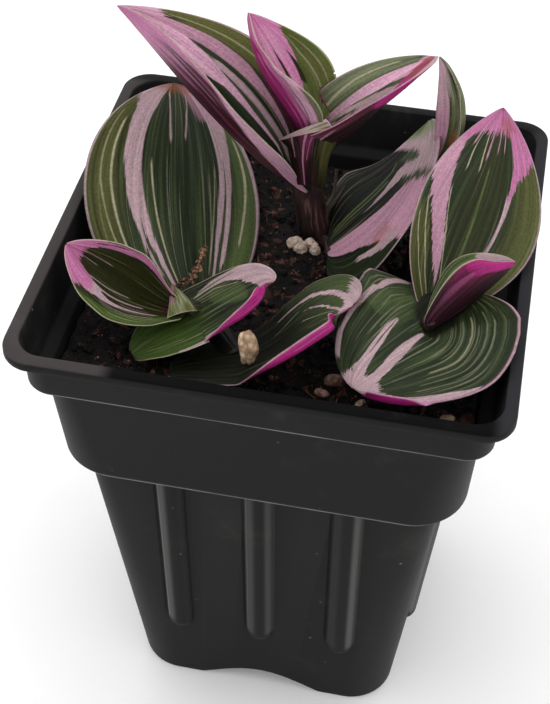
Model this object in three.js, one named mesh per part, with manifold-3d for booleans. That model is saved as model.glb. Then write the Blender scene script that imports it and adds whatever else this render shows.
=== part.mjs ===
// A potted tradescantia with pink-striped leaves: a square nursery pot, its soil,
// five short shoots, twelve leaves and the loose grains that lie on the soil.
// Millimetres, +Z up. The origin is the middle of the pot's foot and the front faces -Y.

import * as THREE from 'three';
import { mergeVertices } from 'three/addons/utils/BufferGeometryUtils.js';
import Module from 'manifold-3d';

const wasm = await Module();
wasm.setup();

// Driving sizes of the pot.
const POT_HEIGHT = 127;
const RIM_HALF = 51.5;
const MOUTH_HALF = 48.8;
const SKIRT_HALF = 48.5;
const SKIRT_DROP = 12;
const BAND_HALF = 45.6;
const STEP_HALF = 44.6;
const STEP_HEIGHT = 87;
const BODY_HALF = 39.8;
const FOOT_HALF = 33;
const WALL = 1.3;
const FLANGE_THICK = 2.8;
const FLOOR_UNDER = 7;
const FLOOR_TOP = 8.8;
const FOOT_RING = 3;
const ARCH_HALF = 17;
const ARCH_RISE = 6.4;
const ARCH_SIDES = 72;
const DRAIN_RADIUS = 3.5;
const DRAIN_REACH = 19;
const DRAIN_SIDES = 16;

// Corner radii of the pot's rounded squares, and how much its edges are broken.
const FOOT_CORNER = 11;
const BODY_CORNER = 5;
const STEP_CORNER = 12;
const BAND_CORNER = 7;
const SKIRT_CORNER = 6;
const RIM_CORNER = 6.5;
const HOLLOW_CORNER = 5.5;
const RECESS_CORNER = 8;
const SOIL_CORNER = 8.5;
const BROKEN_EDGE = 0.5;
const CORNER_STEPS = 6;

// Ribs on the pot's four faces.
const RIB_SPACING = 20;
const RIB_RADIUS = 3.3;
const RIB_SINK = 0.6;
const RIB_FOOT = 23.5;

// Soil and the clearance between pieces that touch.
const CLEARANCE = 0.3;
const SOIL_TOP = 112;
const SOIL_RINGS = 10;
const SOIL_SIDE_STEPS = 4;
const SOIL_ROUGHNESS = 1.1;

// Leaf blades.
const BLADE = 0.7;
const LEAF_ROWS = 16;
const LEAF_COLUMNS = 8;
const TIP_END = 0.985;

const TAU = Math.PI * 2;
const degrees = (angle) => (angle * Math.PI) / 180;
const point = (xyz) => new THREE.Vector3(...xyz);

// A repeatable random number from 0 to 1 for a whole-number seed.
function chance(seed) {
  const wave = Math.sin(seed * 127.1 + 311.7) * 43758.5453;
  return wave - Math.floor(wave);
}

// A level ring of a rounded square: half its width, its corner radius and its height.
function squareRing(half, corner, z, cornerSteps = CORNER_STEPS, sideSteps = 1) {
  const points = [];
  const middle = half - corner;
  for (let side = 0; side < 4; side += 1) {
    const turn = (side * TAU) / 4;
    for (let i = 0; i < cornerSteps; i += 1) {
      const angle = (i / cornerSteps) * (TAU / 4);
      const x = middle + corner * Math.cos(angle);
      const y = middle + corner * Math.sin(angle);
      points.push(turned(x, y, z, turn));
    }
    for (let i = 0; i < sideSteps; i += 1) {
      const y = half;
      const x = middle - (2 * middle * i) / sideSteps;
      points.push(turned(x, y, z, turn));
    }
  }
  return points;
}

// A point turned about the Z axis.
function turned(x, y, z, turn) {
  const c = Math.cos(turn);
  const s = Math.sin(turn);
  return new THREE.Vector3(x * c - y * s, x * s + y * c, z);
}

// Closes rings of equal length into a solid, with a fan over each end.
function loft(rings) {
  const count = rings[0].length;
  const positions = rings.flat().flatMap((p) => p.toArray());
  const index = [];
  for (let level = 0; level < rings.length - 1; level += 1) {
    for (let i = 0; i < count; i += 1) {
      const next = (i + 1) % count;
      const a = level * count + i;
      const b = level * count + next;
      index.push(a, b, b + count, a, b + count, a + count);
    }
  }
  const ends = [rings[0], rings[rings.length - 1]];
  for (const [which, ring] of ends.entries()) {
    const centre = new THREE.Vector3();
    for (const p of ring) centre.addScaledVector(p, 1 / count);
    const hub = positions.length / 3;
    positions.push(...centre.toArray());
    const first = which === 0 ? 0 : (rings.length - 1) * count;
    for (let i = 0; i < count; i += 1) {
      const a = first + i;
      const b = first + ((i + 1) % count);
      if (which === 0) index.push(hub, b, a);
      else index.push(hub, a, b);
    }
  }
  return indexed(positions, index);
}

// A geometry from flat positions and triangle indices.
function indexed(positions, index) {
  const geometry = new THREE.BufferGeometry();
  geometry.setAttribute('position', new THREE.Float32BufferAttribute(positions, 3));
  geometry.setIndex(index);
  return geometry;
}

// A round stalk along a smooth line, with a radius at each of its points.
function stalk(points, radii, { sides = 10, steps = 8, grow = 0 } = {}) {
  const curve = new THREE.CatmullRomCurve3(points.map(point));
  const rings = [];
  let across = new THREE.Vector3(1, 0, 0);
  for (let i = 0; i <= steps; i += 1) {
    const t = i / steps;
    const centre = curve.getPoint(t);
    const tangent = curve.getTangent(t).normalize();
    across = across.clone().addScaledVector(tangent, -across.dot(tangent)).normalize();
    const other = new THREE.Vector3().crossVectors(tangent, across);
    const place = t * (radii.length - 1);
    const low = Math.min(Math.floor(place), radii.length - 2);
    const radius = THREE.MathUtils.lerp(radii[low], radii[low + 1], place - low) + grow;
    if (grow > 0 && i === 0) centre.addScaledVector(tangent, -grow);
    if (grow > 0 && i === steps) centre.addScaledVector(tangent, grow);
    const ring = [];
    for (let k = 0; k < sides; k += 1) {
      const angle = (k / sides) * TAU;
      const p = centre.clone();
      p.addScaledVector(across, radius * Math.cos(angle));
      p.addScaledVector(other, radius * Math.sin(angle));
      ring.push(p);
    }
    rings.push(ring);
  }
  return loft(rings);
}

// An uneven rounded grain of the given half-sizes, turned by the given angles.
function grain(centre, sizes, turns, seed, grow = 0) {
  const geometry = mergeVertices(bare(new THREE.IcosahedronGeometry(1, 1)));
  const turn = new THREE.Euler(...turns.map(degrees));
  const positions = geometry.attributes.position;
  const p = new THREE.Vector3();
  for (let i = 0; i < positions.count; i += 1) {
    p.fromBufferAttribute(positions, i);
    const lump = 1 + 0.12 * Math.sin(4.1 * p.x + seed) * Math.cos(3.3 * p.y - seed + 2.2 * p.z);
    p.multiplyScalar(lump).multiply(point(sizes));
    p.setLength(p.length() + grow).applyEuler(turn).add(point(centre));
    positions.setXYZ(i, p.x, p.y, p.z);
  }
  return geometry;
}

// Strips a geometry down to its positions, so that equal corners can be merged.
function bare(geometry) {
  geometry.deleteAttribute('normal');
  geometry.deleteAttribute('uv');
  return geometry;
}

// A closed geometry as a solid that can be cut and joined.
function toSolid(geometry) {
  const closed = mergeVertices(geometry);
  return new wasm.Manifold(new wasm.Mesh({
    numProp: 3,
    vertProperties: new Float32Array(closed.attributes.position.array),
    triVerts: new Uint32Array(closed.index.array),
  }));
}

// A solid turned back into a geometry.
function toGeometry(solid) {
  const mesh = solid.getMesh();
  return indexed(Array.from(mesh.vertProperties), Array.from(mesh.triVerts));
}

// Joins geometries that grow together into one solid.
function fused(...geometries) {
  return geometries.map(toSolid).reduce((whole, next) => whole.add(next));
}

// Cuts each of the tools out of a solid.
function cut(solid, tools) {
  return tools.reduce((rest, tool) => rest.subtract(tool), solid);
}

// The largest separate piece of a solid, where a cut has left crumbs behind.
function largest(solid) {
  const pieces = solid.decompose();
  return pieces.reduce((best, piece) => (piece.volume() > best.volume() ? piece : best));
}

// The pot's outside, from the foot up to the rim's flange.
function potOutside() {
  const top = POT_HEIGHT;
  const underFlange = top - FLANGE_THICK;
  const skirtFoot = top - SKIRT_DROP;
  const edge = BROKEN_EDGE;
  return loft([
    squareRing(FOOT_HALF - edge, FOOT_CORNER - edge, 0),
    squareRing(FOOT_HALF, FOOT_CORNER, edge),
    squareRing(BODY_HALF, BODY_CORNER, STEP_HEIGHT),
    squareRing(STEP_HALF - 2 * edge, STEP_CORNER, STEP_HEIGHT + 0.1),
    squareRing(STEP_HALF, STEP_CORNER, STEP_HEIGHT + 2 * edge),
    squareRing(BAND_HALF, BAND_CORNER, skirtFoot - edge),
    squareRing(SKIRT_HALF - 2 * edge, SKIRT_CORNER, skirtFoot),
    squareRing(SKIRT_HALF - edge, SKIRT_CORNER, skirtFoot + edge),
    squareRing(SKIRT_HALF, SKIRT_CORNER, underFlange),
    squareRing(RIM_HALF - edge, RIM_CORNER, underFlange + 0.1),
    squareRing(RIM_HALF, RIM_CORNER, underFlange + edge),
    squareRing(RIM_HALF, RIM_CORNER, top - edge),
    squareRing(RIM_HALF - edge, RIM_CORNER - edge, top),
  ]);
}

// The hollow that holds the soil, open at the top.
function potHollow(shrink = 0) {
  const top = POT_HEIGHT;
  const ledge = top - SKIRT_DROP + WALL;
  const slope = (BODY_HALF - FOOT_HALF) / STEP_HEIGHT;
  const floorHalf = FOOT_HALF + slope * FLOOR_TOP - WALL;
  const levels = [
    [floorHalf, FOOT_CORNER - WALL, FLOOR_TOP + shrink],
    [BODY_HALF - WALL, BODY_CORNER, STEP_HEIGHT - 1],
    [STEP_HALF - WALL, STEP_CORNER - 1, STEP_HEIGHT + WALL + 0.4],
    [BAND_HALF - WALL, BAND_CORNER - BROKEN_EDGE, ledge - 0.4],
    [SKIRT_HALF - WALL - 0.5, HOLLOW_CORNER, ledge],
    [SKIRT_HALF - WALL, HOLLOW_CORNER, top - FLANGE_THICK],
    [MOUTH_HALF, HOLLOW_CORNER, top],
    [MOUTH_HALF, HOLLOW_CORNER, top + 1],
  ];
  const ring = ([half, corner, z]) => squareRing(half - shrink, corner, z, CORNER_STEPS, SOIL_SIDE_STEPS);
  return levels.map(ring);
}

// One upright half-round rib, its foot rounded and its top let into the band's step.
function rib(x, turn) {
  const slope = (BODY_HALF - FOOT_HALF) / STEP_HEIGHT;
  const rings = [];
  const heights = [0.15, 0.8, 1.8, 3.3];
  const sides = 12;
  const levels = heights.map((h) => [RIB_FOOT + h, Math.sqrt(h * (2 * RIB_RADIUS - h))]);
  levels.push([STEP_HEIGHT + 0.7, RIB_RADIUS]);
  for (const [z, radius] of levels) {
    const wall = FOOT_HALF + slope * z - RIB_SINK;
    const ring = [];
    for (let i = 0; i < sides; i += 1) {
      const angle = (i / sides) * TAU;
      ring.push(turned(x + radius * Math.cos(angle), wall + radius * Math.sin(angle), z, turn));
    }
    rings.push(ring);
  }
  return loft(rings);
}

// An arch cut through two opposite walls of the foot, along X or along Y.
function footArch(turn) {
  const radius = (ARCH_HALF ** 2 + ARCH_RISE ** 2) / (2 * ARCH_RISE);
  const arch = bare(new THREE.CylinderGeometry(radius, radius, 2 * RIM_HALF, ARCH_SIDES));
  arch.translate(0, 0, ARCH_RISE - radius);
  arch.rotateZ(turn);
  return arch;
}

// A round hole through the floor.
function drainHole(x, y) {
  const hole = bare(new THREE.CylinderGeometry(DRAIN_RADIUS, DRAIN_RADIUS, FLOOR_UNDER, DRAIN_SIDES));
  hole.rotateX(TAU / 4);
  hole.translate(x, y, (FLOOR_UNDER + FLOOR_TOP) / 2);
  return hole;
}

// The whole pot: its outside and ribs, less the hollow and the openings below.
function pot() {
  const ribs = [];
  for (let side = 0; side < 4; side += 1) {
    for (const place of [-1, 0, 1]) ribs.push(rib(place * RIB_SPACING, (side * TAU) / 4));
  }
  const recessHalf = FOOT_HALF - FOOT_RING;
  const recess = loft([
    squareRing(recessHalf, RECESS_CORNER, -1),
    squareRing(recessHalf + 0.4, RECESS_CORNER, FLOOR_UNDER),
  ]);
  const drains = [drainHole(0, 0)];
  for (let side = 0; side < 4; side += 1) {
    const spot = turned(DRAIN_REACH, 0, 0, (side * TAU) / 4);
    drains.push(drainHole(spot.x, spot.y));
  }
  const cuts = [loft(potHollow()), recess, footArch(0), footArch(TAU / 4), ...drains];
  return cut(fused(potOutside(), ...ribs), cuts.map(toSolid));
}

// The stems' lines, thick ends first. Each has a foot in the soil.
const STEMS = {
  stem_centre: [
    { points: [[1.5, 19, 106], [1, 18.7, 112], [0, 17.5, 120], [-1, 16, 130], [-2.5, 15.2, 139]],
      radii: [3.8, 3.8, 3.5, 3.2, 2.4] },
    { points: [[1, 18, 110], [4.8, 14.6, 112.4], [6.4, 9.8, 113.2]], radii: [1.6, 1.6, 1.2] },
    { points: [[3, 18.5, 119], [4.6, 21.5, 121], [4.4, 26, 125]], radii: [0.6, 0.45, 0.4] },
    { points: [[3, 18, 117], [5.4, 22, 119.5], [7.2, 26, 121.5]], radii: [0.6, 0.45, 0.4] },
  ],
  stem_left: [
    { points: [[-18, -15, 106], [-18.5, -16.5, 112], [-19, -19, 117], [-20, -21.5, 120.5]],
      radii: [2.9, 2.9, 2.5, 1.4] },
  ],
  stem_right: [
    { points: [[33.5, -13, 106], [33, -15, 113], [32, -18.5, 119.5], [31.5, -22, 127]],
      radii: [2.8, 2.7, 2.3, 1.3] },
  ],
  stem_back: [
    { points: [[24, 6, 106], [25, 10, 116], [27, 16, 126], [28, 20.5, 136]],
      radii: [2, 1.9, 1.8, 1.4] },
  ],
  stem_front: [
    { points: [[-14, -19, 108], [-12, -22.5, 112.5], [-7.5, -28.5, 114.5]], radii: [3, 3.3, 1.8] },
  ],
};

// One shoot with its side parts.
function stem(parts, grow = 0) {
  return fused(...parts.map(({ points, radii }) => stalk(points, radii, { grow })));
}

// Each leaf: four midrib handles from base to tip, the way its upper face looks at the
// base and at the tip, its greatest half width, where along the blade that falls, how full
// its outline is, the width kept at the base, how far its lobes reach back past the base,
// and for each side the fold and the cup in degrees at the base and at the tip. Slim is the
// share of the width that the right side keeps.
const LEAVES = {
  leaf_back_left: {
    midrib: [[-19, -15, 114.3], [-28.5, -2, 122], [-30.5, 20.5, 133.5], [-35.5, 33.5, 137.5]],
    faces: [[0.45, -0.75, 0.45], [0.4, -0.35, 0.85]],
    half: 21, broad: 0.48, full: 0.66, neck: 0.2, back: 0,
    left: [-11, -4, 11, 6], right: [-21, -8, 6, 6],
  },
  leaf_top_left: {
    midrib: [[-0.5, 13.5, 127], [-14.5, 10, 135.5], [-31, 20, 149], [-46.5, 28.5, 159.5]],
    faces: [[-0.2, -0.1, 0.95], [0.25, 0, 0.95]],
    half: 19, broad: 0.51, full: 0.87, neck: 0.25, back: 0,
    left: [57, 61, 8, 11], right: [27, 24, 13, 12],
  },
  leaf_top_centre: {
    midrib: [[-2.5, 14.5, 140], [-7, 16, 145.5], [-15.5, 21, 155], [-15.5, 21, 166.5]],
    faces: [[0.9, -0.25, 0.4], [0.75, -0.5, 0.45]],
    half: 14.5, broad: 0.44, full: 0.74, neck: 0.3, back: 0,
    left: [65, 47, 33, 18], right: [24, 16, 31, 20], behind: ['leaf_top_right'],
  },
  leaf_top_right: {
    midrib: [[2.5, 17.5, 134], [6, 13, 143], [18, 23.5, 150.5], [24, 36.5, 151.5]],
    faces: [[0.05, -0.1, 1], [-0.15, -0.35, 0.95]],
    half: 10.5, broad: 0.44, full: 0.79, neck: 0.6, back: 0,
    left: [25, 21, 15, 10], right: [50, 50, 55, 0],
  },
  leaf_back_narrow: {
    midrib: [[27.5, 20, 133.5], [35, 22, 141.5], [32, 23.5, 154.5], [25, 25, 159]],
    faces: [[-0.85, -0.4, 0.3], [-0.8, -0.35, 0.45]],
    half: 6, broad: 0.47, full: 0.76, neck: 0.3, back: 0, slim: 0.45,
    left: [49, 48, 20, 8], right: [36, 38, 9, 1], behind: ['leaf_middle_right'],
  },
  leaf_middle_right: {
    midrib: [[5.5, 10.5, 113.5], [11.5, 10, 118.5], [24.5, 14, 132], [24, 34, 136]],
    faces: [[0.35, -0.35, 0.85], [-0.5, 0.2, 0.85]],
    half: 17.5, broad: 0.44, full: 0.69, neck: 0.2, back: 0,
    left: [-21, -12, 7, 12], right: [22, 33, 3, 4],
  },
  leaf_back_right: {
    midrib: [[31.8, -16.5, 120.5], [31.5, -4, 126], [39.5, 9, 135.5], [40, 30.5, 144.5]],
    faces: [[0.15, -0.8, 0.55], [0.3, -0.55, 0.75]],
    half: 15.5, broad: 0.51, full: 0.84, neck: 0.15, back: 0,
    left: [23, 15, 30, 21], right: [17, 6, 26, 15],
  },
  leaf_right_young: {
    midrib: [[32, -22.5, 124.5], [39.5, -18.5, 129.5], [45, -11.5, 131.5], [47, -11.5, 136.5]],
    faces: [[-0.45, 0.25, 0.85], [-0.45, 0.1, 0.9]],
    half: 10, broad: 0.49, full: 0.83, neck: 0.27, back: 0,
    left: [28, 32, 9, 11], right: [66, 68, 18, 9],
  },
  leaf_front_right: {
    midrib: [[32, -24, 124], [32, -25, 124], [22.5, -33.5, 124], [19, -38.5, 120.5]],
    faces: [[-0.15, -0.3, 0.95], [-0.15, -0.15, 1]],
    half: 20, broad: 0.47, full: 0.53, neck: 0, back: 0.62,
    left: [16, 6, 3, -7], right: [15, 3, -3, -13],
    behind: ['leaf_back_right', 'leaf_right_young', 'leaf_front_centre'],
  },
  leaf_front_centre: {
    midrib: [[-6, -31.5, 116], [4, -29, 117.5], [11, -17, 126.5], [15.5, -21.5, 127]],
    faces: [[-0.85, -0.15, 0.45], [-0.45, -0.05, 0.9]],
    half: 12, broad: 0.52, full: 0.4, neck: 0, back: 0.46,
    left: [-3, 7, 4, 8], right: [13, 11, 4, 3],
  },
  leaf_left_boat: {
    midrib: [[-20, -20.5, 117.5], [-28.5, -19.5, 115.5], [-37.5, -20, 123], [-46.5, -18, 129.5]],
    faces: [[0.1, -0.4, 0.9], [0.15, -0.35, 0.9]],
    half: 11, broad: 0.55, full: 0.72, neck: 0.3, back: 0,
    left: [28, 12, 28, 14], right: [56, 37, 44, 28],
  },
  leaf_front_left: {
    midrib: [[-17, -23, 116.5], [-13.5, -20.5, 117.5], [-2, -17.5, 128], [-2, -19, 128]],
    faces: [[-0.05, 0.25, 0.95], [-0.1, -0.1, 1]],
    half: 10, broad: 0.44, full: 0.6, neck: 0, back: 0.72,
    left: [13, 24, 21, 16], right: [7, 8, 4, -6],
  },
};

// A point of a leaf's middle surface. u runs from -1 at the left edge to 1 at the right
// one, and v from 0 at the base to 1 at the tip, and below 0 in the lobes behind the base.
function leafPoint(leaf, u, v) {
  const along = THREE.MathUtils.clamp(v, 0, 1);
  const midline = new THREE.CubicBezierCurve3(...leaf.midrib.map(point));
  const tangent = bezierTangent(leaf.midrib, along);
  const middle = midline.getPoint(along).addScaledVector(tangent, Math.min(v, 0) * handleLength(leaf));
  const face = point(leaf.faces[0]).normalize().multiplyScalar(1 - along);
  face.addScaledVector(point(leaf.faces[1]).normalize(), along);
  const across = new THREE.Vector3().crossVectors(tangent, face).normalize();
  const upper = new THREE.Vector3().crossVectors(across, tangent);
  const side = u < 0 ? leaf.left : leaf.right;
  const fold = degrees(THREE.MathUtils.lerp(side[0], side[1], along));
  const cup = degrees(THREE.MathUtils.lerp(side[2], side[3], along)) || 1e-4;
  const reach = Math.abs(u);
  const width = halfWidth(leaf, v) * (u > 0 ? leaf.slim ?? 1 : 1);
  const outward = (width * (Math.sin(fold + cup * reach) - Math.sin(fold))) / cup;
  const lift = (width * (Math.cos(fold) - Math.cos(fold + cup * reach))) / cup;
  return middle.addScaledVector(across, Math.sign(u) * outward).addScaledVector(upper, lift);
}

// The direction of a midrib at a place along it.
function bezierTangent(handles, t) {
  const [a, b, c, d] = handles.map(point);
  const tangent = b.clone().sub(a).multiplyScalar((1 - t) ** 2);
  tangent.addScaledVector(c.clone().sub(b), 2 * (1 - t) * t);
  tangent.addScaledVector(d.clone().sub(c), t ** 2);
  return tangent.normalize();
}

// The length of a midrib's handles, which its lobes are measured by.
function handleLength(leaf) {
  const [a, b, c, d] = leaf.midrib.map(point);
  return a.distanceTo(b) + b.distanceTo(c) + c.distanceTo(d);
}

// Half the blade's width at a place along it.
function halfWidth(leaf, v) {
  const share = THREE.MathUtils.clamp((v + leaf.back) / (1 + leaf.back), 0, 1);
  const skew = Math.log(0.5) / Math.log(leaf.broad);
  const outline = Math.max(Math.sin(Math.PI * share ** skew), 0) ** leaf.full;
  return leaf.half * (leaf.neck * (1 - share) ** 4 + outline);
}

// The closed blade: the middle surface thickened both ways along its normals.
function blade(leaf, grow = 0) {
  const wider = { ...leaf, half: leaf.half + 2 * grow };
  const longer = grow / handleLength(leaf);
  const start = (leaf.back > 0 ? -leaf.back * 0.97 : 0) - longer;
  const rows = [];
  for (let i = 0; i <= LEAF_ROWS; i += 1) {
    const v = THREE.MathUtils.lerp(start, TIP_END, i / LEAF_ROWS);
    const row = [];
    for (let j = 0; j <= LEAF_COLUMNS; j += 1) {
      const u = (2 * j) / LEAF_COLUMNS - 1;
      row.push(thickened(wider, u, v, BLADE / 2 + grow));
    }
    rows.push(row);
  }
  return sheet(rows);
}

// The two face points of the blade over one point of its middle surface.
function thickened(leaf, u, v, half) {
  const step = 0.01;
  const middle = leafPoint(leaf, u, v);
  const side = Math.abs(u) < step ? step : Math.sign(u) * step;
  const across = leafPoint(leaf, u - side, v).sub(middle).multiplyScalar(-Math.sign(side));
  const along = leafPoint(leaf, u, v + step).sub(leafPoint(leaf, u, v - step));
  const normal = across.cross(along).normalize();
  return [
    middle.clone().addScaledVector(normal, half),
    middle.clone().addScaledVector(normal, -half),
  ];
}

// Closes a grid of paired face points into a solid, split alike on both faces.
function sheet(rows) {
  const height = rows.length;
  const width = rows[0].length;
  const positions = rows.flat(2).flatMap((p) => p.toArray());
  const upper = (i, j) => 2 * (i * width + j);
  const lower = (i, j) => upper(i, j) + 1;
  const index = [];
  for (let i = 0; i < height - 1; i += 1) {
    for (let j = 0; j < width - 1; j += 1) {
      index.push(upper(i, j), upper(i, j + 1), upper(i + 1, j + 1));
      index.push(upper(i, j), upper(i + 1, j + 1), upper(i + 1, j));
      index.push(lower(i, j), lower(i + 1, j + 1), lower(i, j + 1));
      index.push(lower(i, j), lower(i + 1, j), lower(i + 1, j + 1));
    }
  }
  const border = [];
  for (let j = 0; j < width - 1; j += 1) border.push([0, j]);
  for (let i = 0; i < height - 1; i += 1) border.push([i, width - 1]);
  for (let j = width - 1; j > 0; j -= 1) border.push([height - 1, j]);
  for (let i = height - 1; i > 0; i -= 1) border.push([i, 0]);
  for (const [k, here] of border.entries()) {
    const next = border[(k + 1) % border.length];
    index.push(upper(...here), lower(...here), lower(...next));
    index.push(upper(...here), lower(...next), upper(...next));
  }
  return indexed(positions, index);
}

// The loose grains on the soil: their centres, half-sizes and turns in degrees.
const GRAINS = {
  perlite_clump: [
    { centre: [-2.8, 12.4, 112.7], sizes: [1.8, 1.4, 1.7], turns: [20, 0, 30] },
    { centre: [-0.7, 10.8, 112.8], sizes: [1.7, 1.4, 1.8], turns: [0, 30, 70] },
    { centre: [1.1, 12.4, 113.4], sizes: [1.4, 1.2, 1.7], turns: [40, 10, 0] },
    { centre: [2.5, 10.9, 112.6], sizes: [1.3, 1.3, 2.1], turns: [15, 10, 10] },
  ],
  pebble_tall: [{ centre: [-4, -33.1, 122], sizes: [1.9, 1.7, 3.7], turns: [-28, -13, 0] }],
  pebble_front: [{ centre: [13.5, -29.5, 112.8], sizes: [1.9, 1.4, 1.6], turns: [0, 20, 30] }],
  pebble_low: [{ centre: [11.6, -33.2, 112.4], sizes: [1.5, 1, 0.9], turns: [0, 10, 0] }],
  pebble_flat: [{ centre: [20, -34.5, 112.2], sizes: [1.2, 0.9, 0.9], turns: [0, 0, 50] }],
  pebble_right: [{ centre: [38, -35, 112.4], sizes: [1.5, 1, 0.8], turns: [0, 0, 15] }],
};

// The grains of one clump as one solid.
function loose(parts, grow = 0) {
  return fused(...parts.map((part, i) => grain(part.centre, part.sizes, part.turns, i + 1, grow)));
}

// The dry scales that hang in a chain beside the left shoot.
const SCALES = [[-20.6, -11.8, 119.2], [-20.5, -9, 119.8], [-20.3, -6.2, 120.3], [-20, -3.4, 121]];

// The scales and the thread that they hang on.
function dryScales() {
  const lumps = SCALES.map((centre, i) => grain(centre, [1.1, 1.7, 0.9], [10, 0, 40 * i], i + 5));
  return fused(stalk(SCALES, [0.5, 0.7, 0.5], { sides: 6, steps: 5 }), ...lumps);
}

// A rounded-square block under the rim, its top heaped and crumbly.
function soil(holes) {
  const shrink = CLEARANCE + 0.05;
  const rings = potHollow(shrink).slice(0, 3);
  const half = BAND_HALF - WALL - shrink - 0.2;
  rings.push(squareRing(half, SOIL_CORNER, SOIL_TOP - 3, CORNER_STEPS, SOIL_SIDE_STEPS));
  for (let k = SOIL_RINGS; k >= 1; k -= 1) {
    const share = k / SOIL_RINGS;
    const ring = squareRing(half * share, SOIL_CORNER * share, SOIL_TOP, CORNER_STEPS, SOIL_SIDE_STEPS);
    rings.push(ring.map((p, i) => heaped(p, share, k * 97 + i)));
  }
  return largest(cut(toSolid(loft(rings)), holes));
}

// Where a leaf hangs low, the soil is pressed down: the place, the radius and the depth.
const HOLLOWS = [
  { x: 7.5, y: 3, radius: 7, depth: 1.6 },
  { x: -29, y: -29, radius: 7, depth: 1.8 },
];

// Lifts a point of the soil's top by slow swells and by its own crumb.
function heaped(p, share, seed) {
  const swell = 0.5 * Math.sin(p.x * 0.19 + 1) + 0.6 * Math.cos(p.y * 0.16 + p.x * 0.05);
  const crumb = (chance(seed) - 0.5) * 2 * SOIL_ROUGHNESS;
  let height = SOIL_TOP + swell + (share === 1 ? 0.3 : 1) * crumb;
  for (const { x, y, radius, depth } of HOLLOWS) {
    const near = Math.max(1 - Math.hypot(p.x - x, p.y - y) / radius, 0);
    height -= depth * Math.min(near * 2, 1);
  }
  return p.clone().setZ(height);
}

// The colour and roughness of each kind of piece.
const FINISHES = {
  pot: { color: 0x2c2d2c, roughness: 0.5 },
  soil: { color: 0x2a1c16, roughness: 0.98 },
  stem: { color: 0x4a2b35, roughness: 0.6 },
  leaf: { color: 0x3b4f2e, roughness: 0.45 },
  grain: { color: 0xbfae97, roughness: 0.9 },
  scale: { color: 0x9a6a45, roughness: 0.85 },
};

const part = new THREE.Group();
part.name = 'potted_tradescantia';

// Puts a solid in the assembly as a named mesh.
function add(name, solid, finish) {
  const material = new THREE.MeshStandardMaterial({ metalness: 0, ...FINISHES[finish] });
  const mesh = new THREE.Mesh(toGeometry(solid), material);
  mesh.name = name;
  part.add(mesh);
}

const stemGaps = Object.values(STEMS).map((parts) => stem(parts, CLEARANCE));
const grainGaps = Object.values(GRAINS).map((parts) => loose(parts, CLEARANCE));

add('pot', pot(), 'pot');
add('soil', soil([...stemGaps, ...grainGaps]), 'soil');
for (const [name, parts] of Object.entries(STEMS)) add(name, stem(parts), 'stem');
for (const [name, leaf] of Object.entries(LEAVES)) {
  const neighbours = (leaf.behind ?? []).map((other) => toSolid(blade(LEAVES[other], CLEARANCE)));
  add(name, largest(cut(toSolid(blade(leaf)), [...stemGaps, ...neighbours])), 'leaf');
}
for (const [name, parts] of Object.entries(GRAINS)) add(name, loose(parts), 'grain');
add('dry_scales', dryScales(), 'scale');

export default part;
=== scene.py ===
"""A young potted tradescantia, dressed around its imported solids.

Sizes in the sub-assemblies are in millimetres. Meshes are turned to metres when they are made.
"""
import itertools
import logging
import math
from dataclasses import KW_ONLY, dataclass, field
from enum import Enum

import bmesh
import bpy
import numpy as np
from mathutils import Matrix, Vector
from mathutils.bvhtree import BVHTree


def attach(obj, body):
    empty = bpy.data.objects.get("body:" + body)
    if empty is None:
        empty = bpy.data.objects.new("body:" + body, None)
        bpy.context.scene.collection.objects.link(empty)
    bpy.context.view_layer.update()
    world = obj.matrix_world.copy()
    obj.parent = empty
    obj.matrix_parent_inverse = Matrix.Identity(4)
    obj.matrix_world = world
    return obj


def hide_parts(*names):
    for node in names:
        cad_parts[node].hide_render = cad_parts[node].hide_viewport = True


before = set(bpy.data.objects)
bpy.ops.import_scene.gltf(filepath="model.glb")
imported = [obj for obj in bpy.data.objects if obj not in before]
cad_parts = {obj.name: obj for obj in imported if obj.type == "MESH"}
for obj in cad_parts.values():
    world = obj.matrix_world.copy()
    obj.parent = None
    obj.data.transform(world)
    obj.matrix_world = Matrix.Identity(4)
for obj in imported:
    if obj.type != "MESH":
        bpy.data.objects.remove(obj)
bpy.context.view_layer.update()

MM = 0.001
BODY = "root"
CHART_SPAN = 3
log = logging.getLogger("tradescantia")

Point = tuple[float, float, float]
Span = tuple[float, float]
Stops = tuple[tuple[float, ...], ...]
Colour = tuple[float, float, float]
Rgba = tuple[float, ...]
Faces = list[tuple[int, ...]]
Array = np.ndarray


# Colours

def linear(colour: Colour, lift: float = 1.0) -> Rgba:
    """Turns a colour as seen on a screen, 0 to 255, into the renderer's linear values.

    Args:
        colour: Red, green and blue as seen.
        lift: How much lighter than that it gets.

    Returns:
        The linear colour with full alpha.
    """
    shares = [lift * value / 255 for value in colour]
    return *(share / 12.92 if share <= 0.04045 else ((share + 0.055) / 1.055) ** 2.4 for share in shares), 1.0


class Ink(Enum):
    """The paints of a blade, as seen on a screen."""
    LEAF = (52, 62, 36)
    DEEP = (27, 37, 18)
    NIGHT = (11, 13, 7)
    MOSS = (88, 104, 58)
    OLIVE = (92, 94, 46)
    BRONZE = (42, 42, 12)
    LIME = (62, 84, 32)
    GREY_GREEN = (128, 132, 108)
    CREAM = (172, 166, 138)
    PALE = (170, 144, 150)
    BLUSH = (204, 158, 180)
    PINK = (182, 136, 156)
    ROSE = (206, 130, 174)
    ORCHID = (176, 106, 146)
    FUCHSIA = (166, 38, 116)
    MAGENTA = (140, 30, 90)
    PLUM = (84, 30, 52)
    WINE = (40, 16, 26)
    RUST = (140, 78, 52)

    @property
    def colour(self) -> Rgba:
        """The paint in the renderer's values."""
        return linear(self.value)


# Shader graphs written as expressions

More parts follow.
